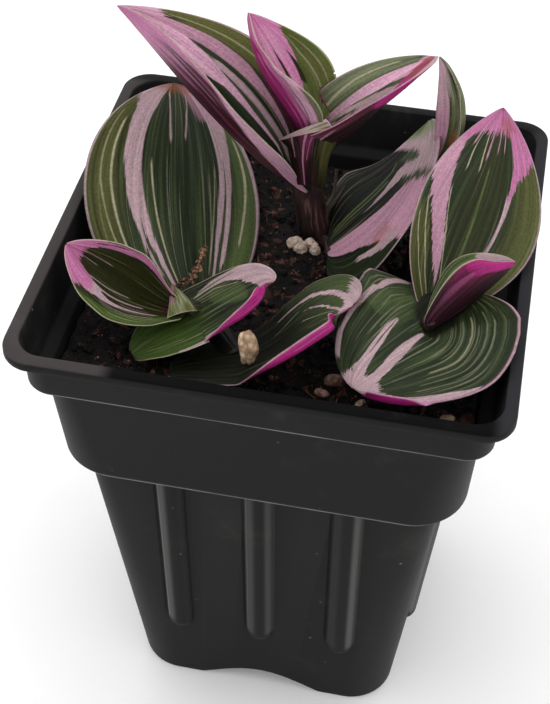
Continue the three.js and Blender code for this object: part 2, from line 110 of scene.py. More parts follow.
class Wire:
    """One output of a node, which takes part in expressions."""

    def __init__(self, graph: "Graph", socket: bpy.types.NodeSocket) -> None:
        """Keeps the graph and the socket."""
        self.graph = graph
        self.socket = socket

    def math(self, operation: str, *terms: "Wire | float") -> "Wire":
        """Adds a Math node.

        Args:
            operation: The node's operation.
            terms: Its inputs in order.

        Returns:
            The node's result.
        """
        sockets = dict(enumerate(terms))
        return self.graph.node("Math", {"operation": operation}, sockets)

    def __add__(self, other: "Wire | float") -> "Wire":
        """Sum."""
        return self.math("ADD", self, other)

    __radd__ = __add__

    def __sub__(self, other: "Wire | float") -> "Wire":
        """Difference."""
        return self.math("SUBTRACT", self, other)

    def __rsub__(self, other: "Wire | float") -> "Wire":
        """Difference from a number."""
        return self.math("SUBTRACT", other, self)

    def __mul__(self, other: "Wire | float") -> "Wire":
        """Product."""
        return self.math("MULTIPLY", self, other)

    __rmul__ = __mul__

    def __truediv__(self, other: "Wire | float") -> "Wire":
        """Quotient."""
        return self.math("DIVIDE", self, other)

    def __neg__(self) -> "Wire":
        """The opposite value."""
        return 0 - self

    def __abs__(self) -> "Wire":
        """Size without sign."""
        return self.math("ABSOLUTE", self)

    def most(self, other: "Wire | float") -> "Wire":
        """The larger of two."""
        return self.math("MAXIMUM", self, other)

    def smooth(self, low: float, high: float) -> "Wire":
        """A smooth step from 0 at low to 1 at high."""
        settings = {"interpolation_type": "SMOOTHSTEP"}
        return self.graph.node("MapRange", settings, {"Value": self, "From Min": low, "From Max": high})


class Graph:
    """The node tree of one material."""

    def __init__(self, name: str) -> None:
        """Makes the material.

        Args:
            name: The material's name.
        """
        self.material = bpy.data.materials.new(name)
        self.material.use_nodes = True
        self.tree = self.material.node_tree
        self.shader = self.tree.nodes["Principled BSDF"]

    def node(self, kind: str, settings: dict | None = None, sockets: dict | None = None, output: int | str = 0) -> Wire:
        """Adds one node.

        Args:
            kind: The node's type, without the words before it that all have.
            settings: Its own settings, set first. "stops" fills a colour ramp.
            sockets: A value or a wire for each named or numbered input.
            output: The output wanted.

        Returns:
            That output.
        """
        made = self.tree.nodes.new(f"ShaderNode{kind}")
        for name, value in (settings or {}).items():
            if name == "stops":
                self.fill(made.color_ramp, value)
            else:
                setattr(made, name, value)
        for name, value in (sockets or {}).items():
            self.feed(made.inputs[name], value)
        return Wire(self, made.outputs[output])

    def feed(self, socket: bpy.types.NodeSocket, value: "Wire | float | tuple") -> None:
        """Links a wire to a socket, or sets its value."""
        if isinstance(value, Wire):
            self.tree.links.new(value.socket, socket)
        else:
            socket.default_value = value

    @staticmethod
    def fill(ramp: bpy.types.ColorRamp, stops: Stops) -> None:
        """Gives a colour ramp its stops, each a place and three channels.

        Args:
            ramp: The colour ramp.
            stops: Its stops.
        """
        while len(ramp.elements) < len(stops):
            ramp.elements.new(0.5)
        for element, (place, *channels) in zip(ramp.elements, stops):
            element.position = place
            element.color = (*channels, 1.0)

    def blend(self, share: "Wire | float", below: "Wire | tuple", above: "Wire | tuple", how: str = "MIX") -> Wire:
        """Lays one colour over another.

        Args:
            share: How much of the upper colour shows.
            below: The lower colour.
            above: The upper colour.
            how: The blend.

        Returns:
            The blended colour.
        """
        settings = {"data_type": "RGBA", "blend_type": how}
        return self.node("Mix", settings, {0: share, 6: below, 7: above}, 2)

    def split(self, whole: Wire, kind: str = "SeparateXYZ") -> list[Wire]:
        """The three values of a position, or of a colour with that kind of node."""
        parts = self.node(kind, sockets={0: whole})
        return [Wire(self, output) for output in parts.socket.node.outputs]

    def place(self, x: "Wire | float", y: "Wire | float", z: "Wire | float" = 0.0) -> Wire:
        """A position from three values."""
        return self.node("CombineXYZ", sockets={0: x, 1: y, 2: z})

    def noise(self, where: Wire, scale: float, detail: float = 2.0, rough: float = 0.5) -> Wire:
        """Smooth noise, about 0 to 1 with 0.5 in the middle."""
        sockets = {"Vector": where, "Scale": scale, "Detail": detail, "Roughness": rough}
        return self.node("TexNoise", sockets=sockets)

    def streaks(self, x: Wire, y: Wire, seed: float, detail: float = 1.0, rough: float = 0.5) -> Wire:
        """Smooth noise over two stretched values."""
        return self.noise(self.place(x, y, seed), 1, detail, rough)

    def cells(self, where: Wire, scale: float, output: str = "Distance") -> Wire:
        """Cell noise."""
        return self.node("TexVoronoi", None, {"Vector": where, "Scale": scale}, output)

    def solid(self) -> Wire:
        """The position in the object, in metres."""
        return self.node("TexCoord", output="Object")

    def chart(self, name: str) -> list[Wire]:
        """The two values of a UV map."""
        return self.split(self.node("UVMap", {"uv_map": name}))[:2]

    def finish(self, height: Wire | None = None, depth: float = 0.0002, strength: float = 1.0,
               **values: "Wire | float | tuple") -> bpy.types.Material:
        """Feeds the shader.

        Args:
            height: The relief, 0 to 1.
            depth: How deep the relief is, in metres.
            strength: How strongly it shows.
            values: The shader's inputs by name, with underscores for spaces.

        Returns:
            The material.
        """
        for name, value in values.items():
            self.feed(self.shader.inputs[name.replace("_", " ")], value)
        if height is not None:
            sockets = {"Strength": strength, "Distance": depth, "Height": height}
            self.feed(self.shader.inputs["Normal"], self.node("Bump", sockets=sockets))
        return self.material


# Numbers that look random but are always the same

def scatter(cells: Array, seed: int) -> Array:
    """A fixed random number from -1 to 1 for each whole-numbered cell.

    Args:
        cells: Whole numbers, one cell a row.
        seed: Which set of numbers to give.

    Returns:
        One number a row.
    """
    primes = np.array([73856093, 19349663, 83492791])[:cells.shape[-1]]
    mixed = (cells @ primes + seed * 2654435) & 0xFFFFFFFF
    for _ in range(2):
        mixed = ((mixed ^ (mixed >> 16)) * 0x45D9F3B) & 0xFFFFFFFF
    return (mixed ^ (mixed >> 16)) / 0x7FFFFFFF - 1


def ripple(places: Array, seed: int) -> Array:
    """Smooth noise from -1 to 1.

    Args:
        places: Positions, one a row, with noise that changes over about 1.
        seed: Which noise to give.

    Returns:
        One number a row.
    """
    cell = np.floor(places).astype(np.int64)
    part = places - cell
    part = part * part * (3 - 2 * part)
    total = np.zeros(places.shape[:-1])
    for corner in itertools.product((0, 1), repeat=places.shape[-1]):
        share = np.prod(np.where(corner, part, 1 - part), axis=-1)
        total += share * scatter(cell + np.array(corner), seed)
    return total


def unit(rows: Array) -> Array:
    """Rows scaled to length 1."""
    return rows / np.maximum(np.linalg.norm(rows, axis=-1, keepdims=True), 1e-9)


def step(values: Array, low: float, high: float) -> Array:
    """A smooth step from 0 at low to 1 at high."""
    share = np.clip((values - low) / (high - low), 0, 1)
    return share * share * (3 - 2 * share)


# Meshes

@dataclass
class Skin:
    """Points and faces on their way to becoming a piece."""
    points: Array
    faces: Faces
    charts: dict[str, Array] = field(default_factory=dict)
    paints: Array | None = None

    def mesh(self, name: str, materials: list[bpy.types.Material]) -> bpy.types.Object:
        """Makes the object, in metres and smooth shaded.

        Args:
            name: The object's name.
            materials: Its materials, in the order that paints counts them.

        Returns:
            The object, linked to the scene.
        """
        made = bpy.data.meshes.new(name)
        made.from_pydata((self.points * MM).tolist(), [], self.faces)
        for material in materials:
            made.materials.append(material)
        made.polygons.foreach_set("use_smooth", np.ones(len(made.polygons), dtype=bool))
        if self.paints is not None:
            made.polygons.foreach_set("material_index", self.paints.astype(np.int32))
        corners = np.empty(len(made.loops), dtype=np.int32)
        made.loops.foreach_get("vertex_index", corners)
        for chart, values in self.charts.items():
            layer = made.uv_layers.new(name=chart)
            layer.data.foreach_set("uv", values[corners].astype(np.float32).ravel())
        made.update()
        return placed(name, made)

    def turned(self, turn: Array) -> "Skin":
        """The same skin turned by a matrix."""
        return Skin(self.points @ turn.T, self.faces)


def placed(name: str, data: bpy.types.ID) -> bpy.types.Object:
    """Puts a mesh, lamp or camera in the scene."""
    item = bpy.data.objects.new(name, data)
    bpy.context.scene.collection.objects.link(item)
    return item


def join(skins: list[Skin]) -> Skin:
    """Puts several skins in one, with their charts.

    Args:
        skins: The skins, which all have the first one's charts.

    Returns:
        The one skin.
    """
    starts = np.cumsum([0] + [len(skin.points) for skin in skins])
    faces = [tuple(int(start) + k for k in face) for start, skin in zip(starts, skins) for face in skin.faces]
    charts = {name: np.vstack([skin.charts[name] for skin in skins]) for name in skins[0].charts}
    return Skin(np.vstack([skin.points for skin in skins]), faces, charts)


def compact(faces: Faces) -> tuple[Array, Faces]:
    """Renumbers faces so that no point is left unused.

    Args:
        faces: The faces.

    Returns:
        The numbers of the points that are used, and the faces by their new numbers.
    """
    used = np.unique([number for face in faces for number in face])
    fresh = {int(number): k for k, number in enumerate(used)}
    return used, [tuple(fresh[number] for number in face) for face in faces]


def loft(rings: Array | list[Array]) -> Skin:
    """Joins closed rings of points, and closes the first and the last with a face.

    Args:
        rings: Ring by ring, point by point.

    Returns:
        The closed skin.
    """
    stack = np.array(rings)
    numbers = np.arange(stack.shape[0] * stack.shape[1]).reshape(stack.shape[:2])
    after = np.roll(numbers, -1, axis=1)
    quads = np.stack([numbers[:-1], after[:-1], after[1:], numbers[1:]], -1).reshape(-1, 4)
    faces = [tuple(face) for face in quads.tolist()]
    return Skin(stack.reshape(-1, 3), [*faces, tuple(numbers[0, ::-1].tolist()), tuple(numbers[-1].tolist())])


def quarter_turn(quarter: int) -> Array:
    """The matrix of some quarter turns about the upright axis."""
    turn = quarter * math.pi / 2
    return np.array([[math.cos(turn), -math.sin(turn), 0], [math.sin(turn), math.cos(turn), 0], [0, 0, 1]])


def tumble(draw: np.random.Generator) -> Array:
    """The matrix of a turn by a random angle about a random axis."""
    return np.array(Matrix.Rotation(draw.uniform(0, 6.28), 3, Vector(draw.normal(size=3)).normalized()))


def trim(item: bpy.types.Object, tools: list[bpy.types.Object], operation: str = "DIFFERENCE") -> None:
    """Cuts or joins closed objects, and throws the tools away.

    Args:
        item: The object that is changed.
        tools: The objects that cut it or join it.
        operation: The Boolean operation.
    """
    for tool in tools:
        change = item.modifiers.new("trim", "BOOLEAN")
        change.operation = operation
        change.solver = "EXACT"
        change.object = tool
        graph = bpy.context.evaluated_depsgraph_get()
        whole = item.evaluated_get(graph)
        made = bpy.data.meshes.new_from_object(whole, preserve_all_data_layers=True, depsgraph=graph)
        old = item.data
        item.modifiers.clear()
        item.data = made
        made.name = item.name
        bpy.data.meshes.remove(old)
        bpy.data.objects.remove(tool)


def end_at(item: bpy.types.Object, wall: Skin, near: float) -> None:
    """Ends a thin piece where it meets another, keeps its largest part and closes it.

    Args:
        item: The thin piece.
        wall: The closed skin that it ends at.
        near: How close to the wall its faces may come, in millimetres.
    """
    tree = BVHTree.FromPolygons((wall.points * MM).tolist(), wall.faces)
    work = bmesh.new()
    work.from_mesh(item.data)
    lost = []
    for face in work.faces:
        middle = face.calc_center_median()
        spot, normal, _, away = tree.find_nearest(middle)
        if away < near * MM or (middle - spot).dot(normal) < 0 and away < 2 * MM:
            lost.append(face)
    bmesh.ops.delete(work, geom=lost, context="FACES")
    left = set(work.verts)
    parts = []
    while left:
        seed = left.pop()
        part, edge = {seed}, [seed]
        while edge:
            for link in edge.pop().link_edges:
                for vert in link.verts:
                    if vert not in part:
                        part.add(vert)
                        edge.append(vert)
        left -= part
        parts.append(part)
    parts.sort(key=len)
    for part in parts[:-1]:
        bmesh.ops.delete(work, geom=list(part), context="VERTS")
    bmesh.ops.holes_fill(work, edges=[edge for edge in work.edges if edge.is_boundary], sides=0)
    work.to_mesh(item.data)
    work.free()


def dress(item: bpy.types.Object, slot: str, *nodes: str) -> bpy.types.Object:
    """Fixes a piece to the pot's body and hides the solids that it replaces.

    Args:
        item: The piece.
        slot: Not used.
        nodes: The solids that it replaces.

    Returns:
        The piece.
    """
    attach(item, BODY)
    if nodes:
        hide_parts(*nodes)
    log.info("%s: %d faces", item.name, len(item.data.polygons))
    return item


# The camera, floor and light

@dataclass
class Studio:
    """Where the picture is taken: a pale floor, soft light and the camera."""
    eye: Point = (0.039404, -0.243111, 0.332594)
    yaw: float = -10.181
    pitch: float = 44.602
    roll: float = -1.476
    lens: float = 75.195
    sensor: float = 36.0
    floor_half: float = 3.0
    sky: float = 1.08
    aim: Point = (0, 0, 0.1)
    lamps: tuple[tuple[str, Point, Span, float], ...] = (
        ("lamp_top", (-0.2, 0.25, 1.1), (1.0, 1.0), 2.5),
        ("lamp_left", (-0.95, -0.1, 0.55), (0.5, 0.9), 0.8),
        ("lamp_right", (0.95, 0.0, 0.5), (0.4, 0.9), 0.8))

    def camera(self) -> None:
        """Places the camera as the photograph was taken."""
        data = bpy.data.cameras.new("camera")
        data.lens = self.lens
        data.sensor_width = self.sensor
        yaw, pitch, roll = (math.radians(angle) for angle in (self.yaw, self.pitch, self.roll))
        level = Vector((math.sin(yaw), math.cos(yaw), 0))
        right = Vector((math.cos(yaw), -math.sin(yaw), 0))
        ahead = level * math.cos(pitch) - Vector((0, 0, math.sin(pitch)))
        down = ahead.cross(right)
        side = right * math.cos(roll) + down * math.sin(roll)
        low = down * math.cos(roll) - right * math.sin(roll)
        turn = Matrix((side, -low, -ahead)).transposed().to_4x4()
        bpy.context.scene.camera = placed("camera", data)
        bpy.context.scene.camera.matrix_world = Matrix.Translation(Vector(self.eye)) @ turn

    def softbox(self, name: str, at: Point, size: Span, power: float) -> None:
        """Hangs a soft lamp that looks at the plant.

        Args:
            name: Its name.
            at: Where it hangs, in metres.
            size: Its width and height, in metres.
            power: Its power, in watts.
        """
        data = bpy.data.lights.new(name, "AREA")
        data.shape = "RECTANGLE"
        data.size, data.size_y = size
        data.energy = power
        turn = (Vector(self.aim) - Vector(at)).to_track_quat("-Z", "Y").to_matrix().to_4x4()
        placed(name, data).matrix_world = Matrix.Translation(Vector(at)) @ turn

    def light(self) -> None:
        """Sets the even sky and the lamps."""
        world = bpy.data.worlds.new("studio")
        world.use_nodes = True
        sky = world.node_tree.nodes["Background"].inputs
        sky["Color"].default_value = (1, 1, 1, 1)
        sky["Strength"].default_value = self.sky
        bpy.context.scene.world = world
        for lamp in self.lamps:
            self.softbox(*lamp)
        bpy.context.scene.view_settings.view_transform = "Standard"

    def floor(self) -> None:
        """Lays the pale floor under the pot."""
        half = self.floor_half / MM
        points = np.array([(-half, -half, 0), (half, -half, 0), (half, half, 0), (-half, half, 0)], dtype=float)
        graph = Graph("floor_paper")
        fleck = graph.noise(graph.solid(), scale=40, detail=4)
        colour = graph.blend(fleck, linear((250, 250, 250)), linear((255, 255, 255)))
        paper = graph.finish(Base_Color=colour, Roughness=0.75)
        Skin(points, [(0, 1, 2, 3)]).mesh("floor", [paper])


# The pot

@dataclass(frozen=True)
class MouldedPlastic:
    """Charcoal nursery-pot plastic: satin, with faint flow marks, dust and scuffs, painted highlights on its edges and
    painted shade beside its ribs and along the flange's front.
    """
    body: Colour = (27, 27, 27)
    # The colour of the painted highlights on the edges.
    painted_highlight: Colour = (128, 128, 126)
    dust: Colour = (120, 116, 110)
    # Painted shade beside the ribs and along the flange's front, and painted highlights at the flange's left and right.
    painted_shade: Colour = (3, 3, 4)
    rim_left_highlight: Colour = (62, 58, 58)
    rim_right_highlight: Colour = (42, 42, 45)
    skirt_foot: float = 0.1151
    step_edge: float = 0.0879
    rib_spacing: float = 0.02
    rib_half: float = 0.003245
    rib_reach: Span = (0.025, 0.0255)
    rib_foot: Span = (0.0262, 0.029)
    rib_top: Span = (0.086, 0.087)
    skirt_reach: Span = (0.0462, 0.0466)
    step_reach: Span = (0.0425, 0.043)
    flange: Span = (0.1263, 0.1268)

    @staticmethod
    def line(value: Wire, middle: float, core: float, fade: float) -> Wire:
        """A line of one width where a value is near its middle."""
        return 1 - abs(value - middle).smooth(core, fade)

    def edges(self, graph: Graph, x: Wire, y: Wire, z: Wire) -> tuple[Wire, Wire]:
        """Where highlights are painted on the edges, and where shade is painted beside a rib.

        Args:
            graph: The finish's graph.
            x: Position across the pot, in metres.
            y: Position from front to back.
            z: Height.

        Returns:
            The bright mask and the dark mask.
        """
        reach = abs(x).most(abs(y))
        front = (abs(y) - abs(x)).smooth(0.0, 0.0004)
        face = x * front + y * (1 - front)
        shifted = face + (1.5 * self.rib_spacing + self.rib_half)
        lap = shifted.math("MODULO", shifted, self.rib_spacing)
        where = (1 - abs(face).smooth(*self.rib_reach)) * z.smooth(*self.rib_foot) * (1 - z.smooth(*self.rib_top))
        half = self.rib_spacing / 2
        leftward = (-face).smooth(-0.02, 0.02)
        # Painted highlights along the ribs' edges, mostly on the left edges at the left and the right edges at the
        # right.
        glint = self.line(lap, half + 0.0005, 0.0001, 0.0007) * (0.1 + leftward * 0.4)
        sheen = self.line(lap, half + 0.0012, 0.0002, 0.0018) * (0.05 + leftward * 0.2)
        far = self.line(lap, half + 2 * self.rib_half - 0.0007, 0.0002, 0.0014) * (0.3 - leftward * 0.28)
        highlight_mask = glint.most(sheen).most(far) * where
        patch = graph.noise(graph.solid(), scale=90, detail=3).smooth(0.3, 0.7)
        # Painted highlights along the foot of the skirt and the edge of the step, patchy along their length.
        skirt = self.line(z, self.skirt_foot, 0.0002, 0.0006) * reach.smooth(*self.skirt_reach) * (0.4 + patch * 0.5)
        ledge = self.line(z, self.step_edge, 0.0002, 0.0008) * reach.smooth(*self.step_reach) * (0.35 + patch * 0.5)
        # Painted shade in a thin line beside each rib.
        dark = self.line(lap, half - 0.0005, 0.0001, 0.0005) * where
        return highlight_mask.most(skirt).most(ledge), dark

    def rim(self, graph: Graph, x: Wire, y: Wire) -> Wire:
        """The flange's top: painted shade along the front, painted highlights at the left and right.

        Args:
            graph: The finish's graph.
            x: Position across the pot, in metres.
            y: Position from front to back.

        Returns:
            Its colour.
        """
        # Painted shade along the front, painted highlights at the left and right.
        tone = graph.blend((-0.027 - x).smooth(0.0, 0.004), linear(self.painted_shade), linear(self.rim_left_highlight))
        tone = graph.blend((x - 0.0465).smooth(0.0, 0.003), tone, linear(self.rim_right_highlight))
        return graph.blend((y - 0.0465).smooth(0.0, 0.003), tone, linear(self.body))

    def material(self) -> bpy.types.Material:
        """Builds the finish."""
        graph = Graph("charcoal_plastic")
        where = graph.solid()
        x, y, z = graph.split(where)
        cloud = graph.noise(where, scale=35, detail=3)
        grain = graph.noise(where, scale=1500, detail=2)
        base = graph.blend(cloud, linear(self.body, 0.9), linear(self.body, 1.1))
        # The flange's top gets its painted light and shade.
        base = graph.blend(z.smooth(*self.flange), base, self.rim(graph, x, y))
        # Painted highlights on the edges, then painted shade beside the ribs.
        highlight_mask, dark = self.edges(graph, x, y, z)
        base = graph.blend(highlight_mask, base, linear(self.painted_highlight))
        base = graph.blend(dark, base, linear(self.painted_shade))
        speck = graph.cells(where, scale=260)
        rare = graph.noise(where, scale=190, detail=1)
        dots = (1 - speck.smooth(0.05, 0.11)) * rare.smooth(0.62, 0.7)
        haze = graph.noise(where, scale=60, detail=5, rough=0.65).smooth(0.56, 0.78) * 0.1
        dust = (dots * 0.6).most(haze)
        colour = graph.blend(dust, base, linear(self.dust))
        gloss = 0.4 + cloud * 0.12 + haze * 1.2 + grain * 0.06
        height = grain * 0.5 + cloud * 0.3
        return graph.finish(height, depth=0.00004, strength=0.5, Base_Color=colour, Roughness=gloss,
                            Specular_IOR_Level=0.05)


@dataclass
class Pot:
    """The square nursery pot, lofted from rounded squares with softened edges.

    Each stop of an outline is a rounded square's half width, its corner radius and its height.
    """
    corner_steps: int = 14
    side_steps: int = 6
    soft: float = 0.55
    outside: Stops = (
        (32.5, 10.5, 0.0), (33.0, 11.0, 0.6), (39.8, 5.0, 87.0), (43.9, 12.0, 87.1), (44.8, 12.0, 88.6),
        (45.6, 7.0, 114.8), (48.2, 6.0, 115.0), (48.5, 6.0, 124.3), (51.5, 6.5, 124.4), (51.5, 6.5, 127.0),
    )
    inside: Stops = (
        (48.8, 6.0, 127.0), (47.2, 5.0, 117.4), (47.0, 5.0, 116.3), (44.3, 5.0, 115.2),
        (43.3, 9.0, 88.8), (38.5, 4.4, 88.3), (32.3, 9.6, 8.8),
    )
    recess: Stops = ((29.6, 8.0, -1.0), (30.2, 8.0, 7.0))
    rib_places: tuple[float, ...] = (-20.0, 0.0, 20.0)
    rib_radius: float = 3.3
    rib_foot: float = 23.5
    rib_top: float = 87.6
    rib_sink: float = 0.6
    arch_half: float = 17.0
    arch_rise: float = 6.4
    arch_cut: Span = (-60, -24)
    drain_radius: float = 3.5
    drain_reach: float = 19.0
    drain_cut: Span = (5.0, 11.0)

    def ring(self, half: float, corner: float, height: float) -> Array:
        """One rounded square.

        Args:
            half: Half its width.
            corner: Its corner radius.
            height: Its height.

        Returns:
            Its points, counter-clockwise from above.
        """
        def spot(turn: float, angle: float) -> Array:
            """The point at an angle on the corner that starts at a turn."""
            x = (half - corner) * (math.cos(turn) - math.sin(turn)) + corner * math.cos(angle)
            return np.array((x, (half - corner) * (math.sin(turn) + math.cos(turn)) + corner * math.sin(angle)))
        points = []
        for quarter in range(4):
            turn = quarter * math.pi / 2
            after = turn + math.pi / 2
            points += [spot(turn, turn + k / self.corner_steps * math.pi / 2) for k in range(self.corner_steps + 1)]
            start, end = points[-1], spot(after, after)
            points += [start + (end - start) * k / self.side_steps for k in range(1, self.side_steps)]
        return np.column_stack([np.array(points), np.full(len(points), height)])

    def softened(self, outline: Stops, radius: float) -> list[tuple[float, ...]]:
        """Rounds each corner of an outline.

        Args:
            outline: Half width, corner radius and height, stop by stop.
            radius: How far from a corner the rounding starts.

        Returns:
            The outline with three stops in place of each inner one.
        """
        stops = np.array(outline)
        soft = [tuple(stops[0])]
        for before, here, after in zip(stops, stops[1:], stops[2:]):
            ends = []
            for other in (before, after):
                length = np.linalg.norm((other - here)[[0, 2]])
                ends.append(here + (other - here) * min(radius, length * 0.4) / length)
            soft += [tuple(ends[0]), tuple((ends[0] + ends[1]) / 4 + here / 2), tuple(ends[1])]
        soft.append(tuple(stops[-1]))
        return soft

    def shell(self) -> Skin:
        """The pot's wall and floor as one closed skin."""
        outline = self.softened(self.outside + self.inside, self.soft)
        return loft([self.ring(*stop) for stop in outline])

    def rib(self, x: float, quarter: int) -> Skin:
        """One upright rib on a face.

        Args:
            x: Its place along the face.
            quarter: Which face it is on.

        Returns:
            A round bar with a domed foot, half sunk in the wall.
        """
        low, high = self.outside[1], self.outside[2]
        slope = (high[0] - low[0]) / (high[2] - low[2])
        heights = np.concatenate([
            self.rib_foot + self.rib_radius * (1 - np.cos(np.linspace(0.15, math.pi / 2, 8))),
            np.linspace(self.rib_foot + self.rib_radius + 2, self.rib_top, 12)])
        rings = []
        for height in heights:
            rise = min(height - self.rib_foot, self.rib_radius)
            radius = math.sqrt(max(self.rib_radius ** 2 - (self.rib_radius - rise) ** 2, 0.01))
            wall = low[0] + slope * (height - low[2]) - self.rib_sink
            angles = np.radians(np.linspace(-12, 192, 28))
            depth = -wall - radius * np.sin(angles) * 0.85
            rings.append(np.column_stack([x + radius * np.cos(angles), depth, np.full_like(angles, height)]))
        bar = loft(rings)
        return Skin(bar.points, [face[::-1] for face in bar.faces]).turned(quarter_turn(quarter))

    def arch(self, quarter: int) -> Skin:
        """The cutter of one foot arch.

        Args:
            quarter: Which face it is on.

        Returns:
            The closed cutter.
        """
        share = np.linspace(-1, 1, 25)
        top = self.arch_rise * np.cos(share * math.pi / 2) ** 1.2
        face = np.column_stack([share * self.arch_half, 0 * share, top])
        low = np.column_stack([share[::-1] * self.arch_half, 0 * share, np.full_like(share, -2.0)])
        ring = np.vstack([face, low])
        return loft([ring + (0, y, 0) for y in self.arch_cut]).turned(quarter_turn(quarter))

    def drain(self, x: float, y: float) -> Skin:
        """The cutter of one drain hole."""
        angles = np.linspace(0, 2 * math.pi, 32, endpoint=False)
        flat = np.column_stack([x + self.drain_radius * np.cos(angles), y + self.drain_radius * np.sin(angles)])
        return loft([np.column_stack([flat, np.full_like(angles, height)]) for height in self.drain_cut])

    def build(self) -> None:
        """Makes the pot and puts it in place of its solid."""
        plastic = MouldedPlastic().material()
        item = self.shell().mesh("nursery_pot", [plastic])
        ribs = [self.rib(x, q).mesh("rib", []) for q in range(4) for x in self.rib_places]
        trim(item, ribs, "UNION")
        cutters = [loft([self.ring(*stop) for stop in self.recess]).mesh("recess", [])]
        cutters += [self.arch(quarter).mesh("arch", []) for quarter in range(4)]
        reach = self.drain_reach
        cutters += [self.drain(x, y).mesh("drain", []) for x in (-reach, reach) for y in (-reach, reach)]
        trim(item, cutters)
        item.data.set_sharp_from_angle(angle=math.radians(38))
        dress(item, "pot_plastic", "pot")


# The soil

@dataclass(frozen=True)
class Compost:
    """Damp dark potting mix with bark-red crumbs."""
    dark: Colour = (3, 2, 3)
    warm: Colour = (17, 10, 9)
    bark: Colour = (98, 62, 50)

    def material(self, name: str, lift: float) -> bpy.types.Material:
        """Builds the finish.

        Args:
            name: The material's name.
            lift: How much bark shows, 0 to 1.

        Returns:
            The material.
        """
        graph = Graph(name)
        where = graph.solid()
        patch = graph.noise(where, scale=220, detail=3, rough=0.6)
        tone = graph.split(graph.cells(where, scale=620, output="Color"), "SeparateColor")[0]
        base = graph.blend(patch.smooth(0.35, 0.7), linear(self.dark), linear(self.warm))
        colour = graph.blend(tone.smooth(1.0 - lift, 1.05) * 0.8, base, linear(self.bark))
        fine = graph.noise(where, scale=1800, detail=3, rough=0.65)
        return graph.finish(fine, depth=0.0004, strength=0.8, Base_Color=colour, Roughness=0.62 + fine * 0.3,
                            Specular_IOR_Level=0.2)


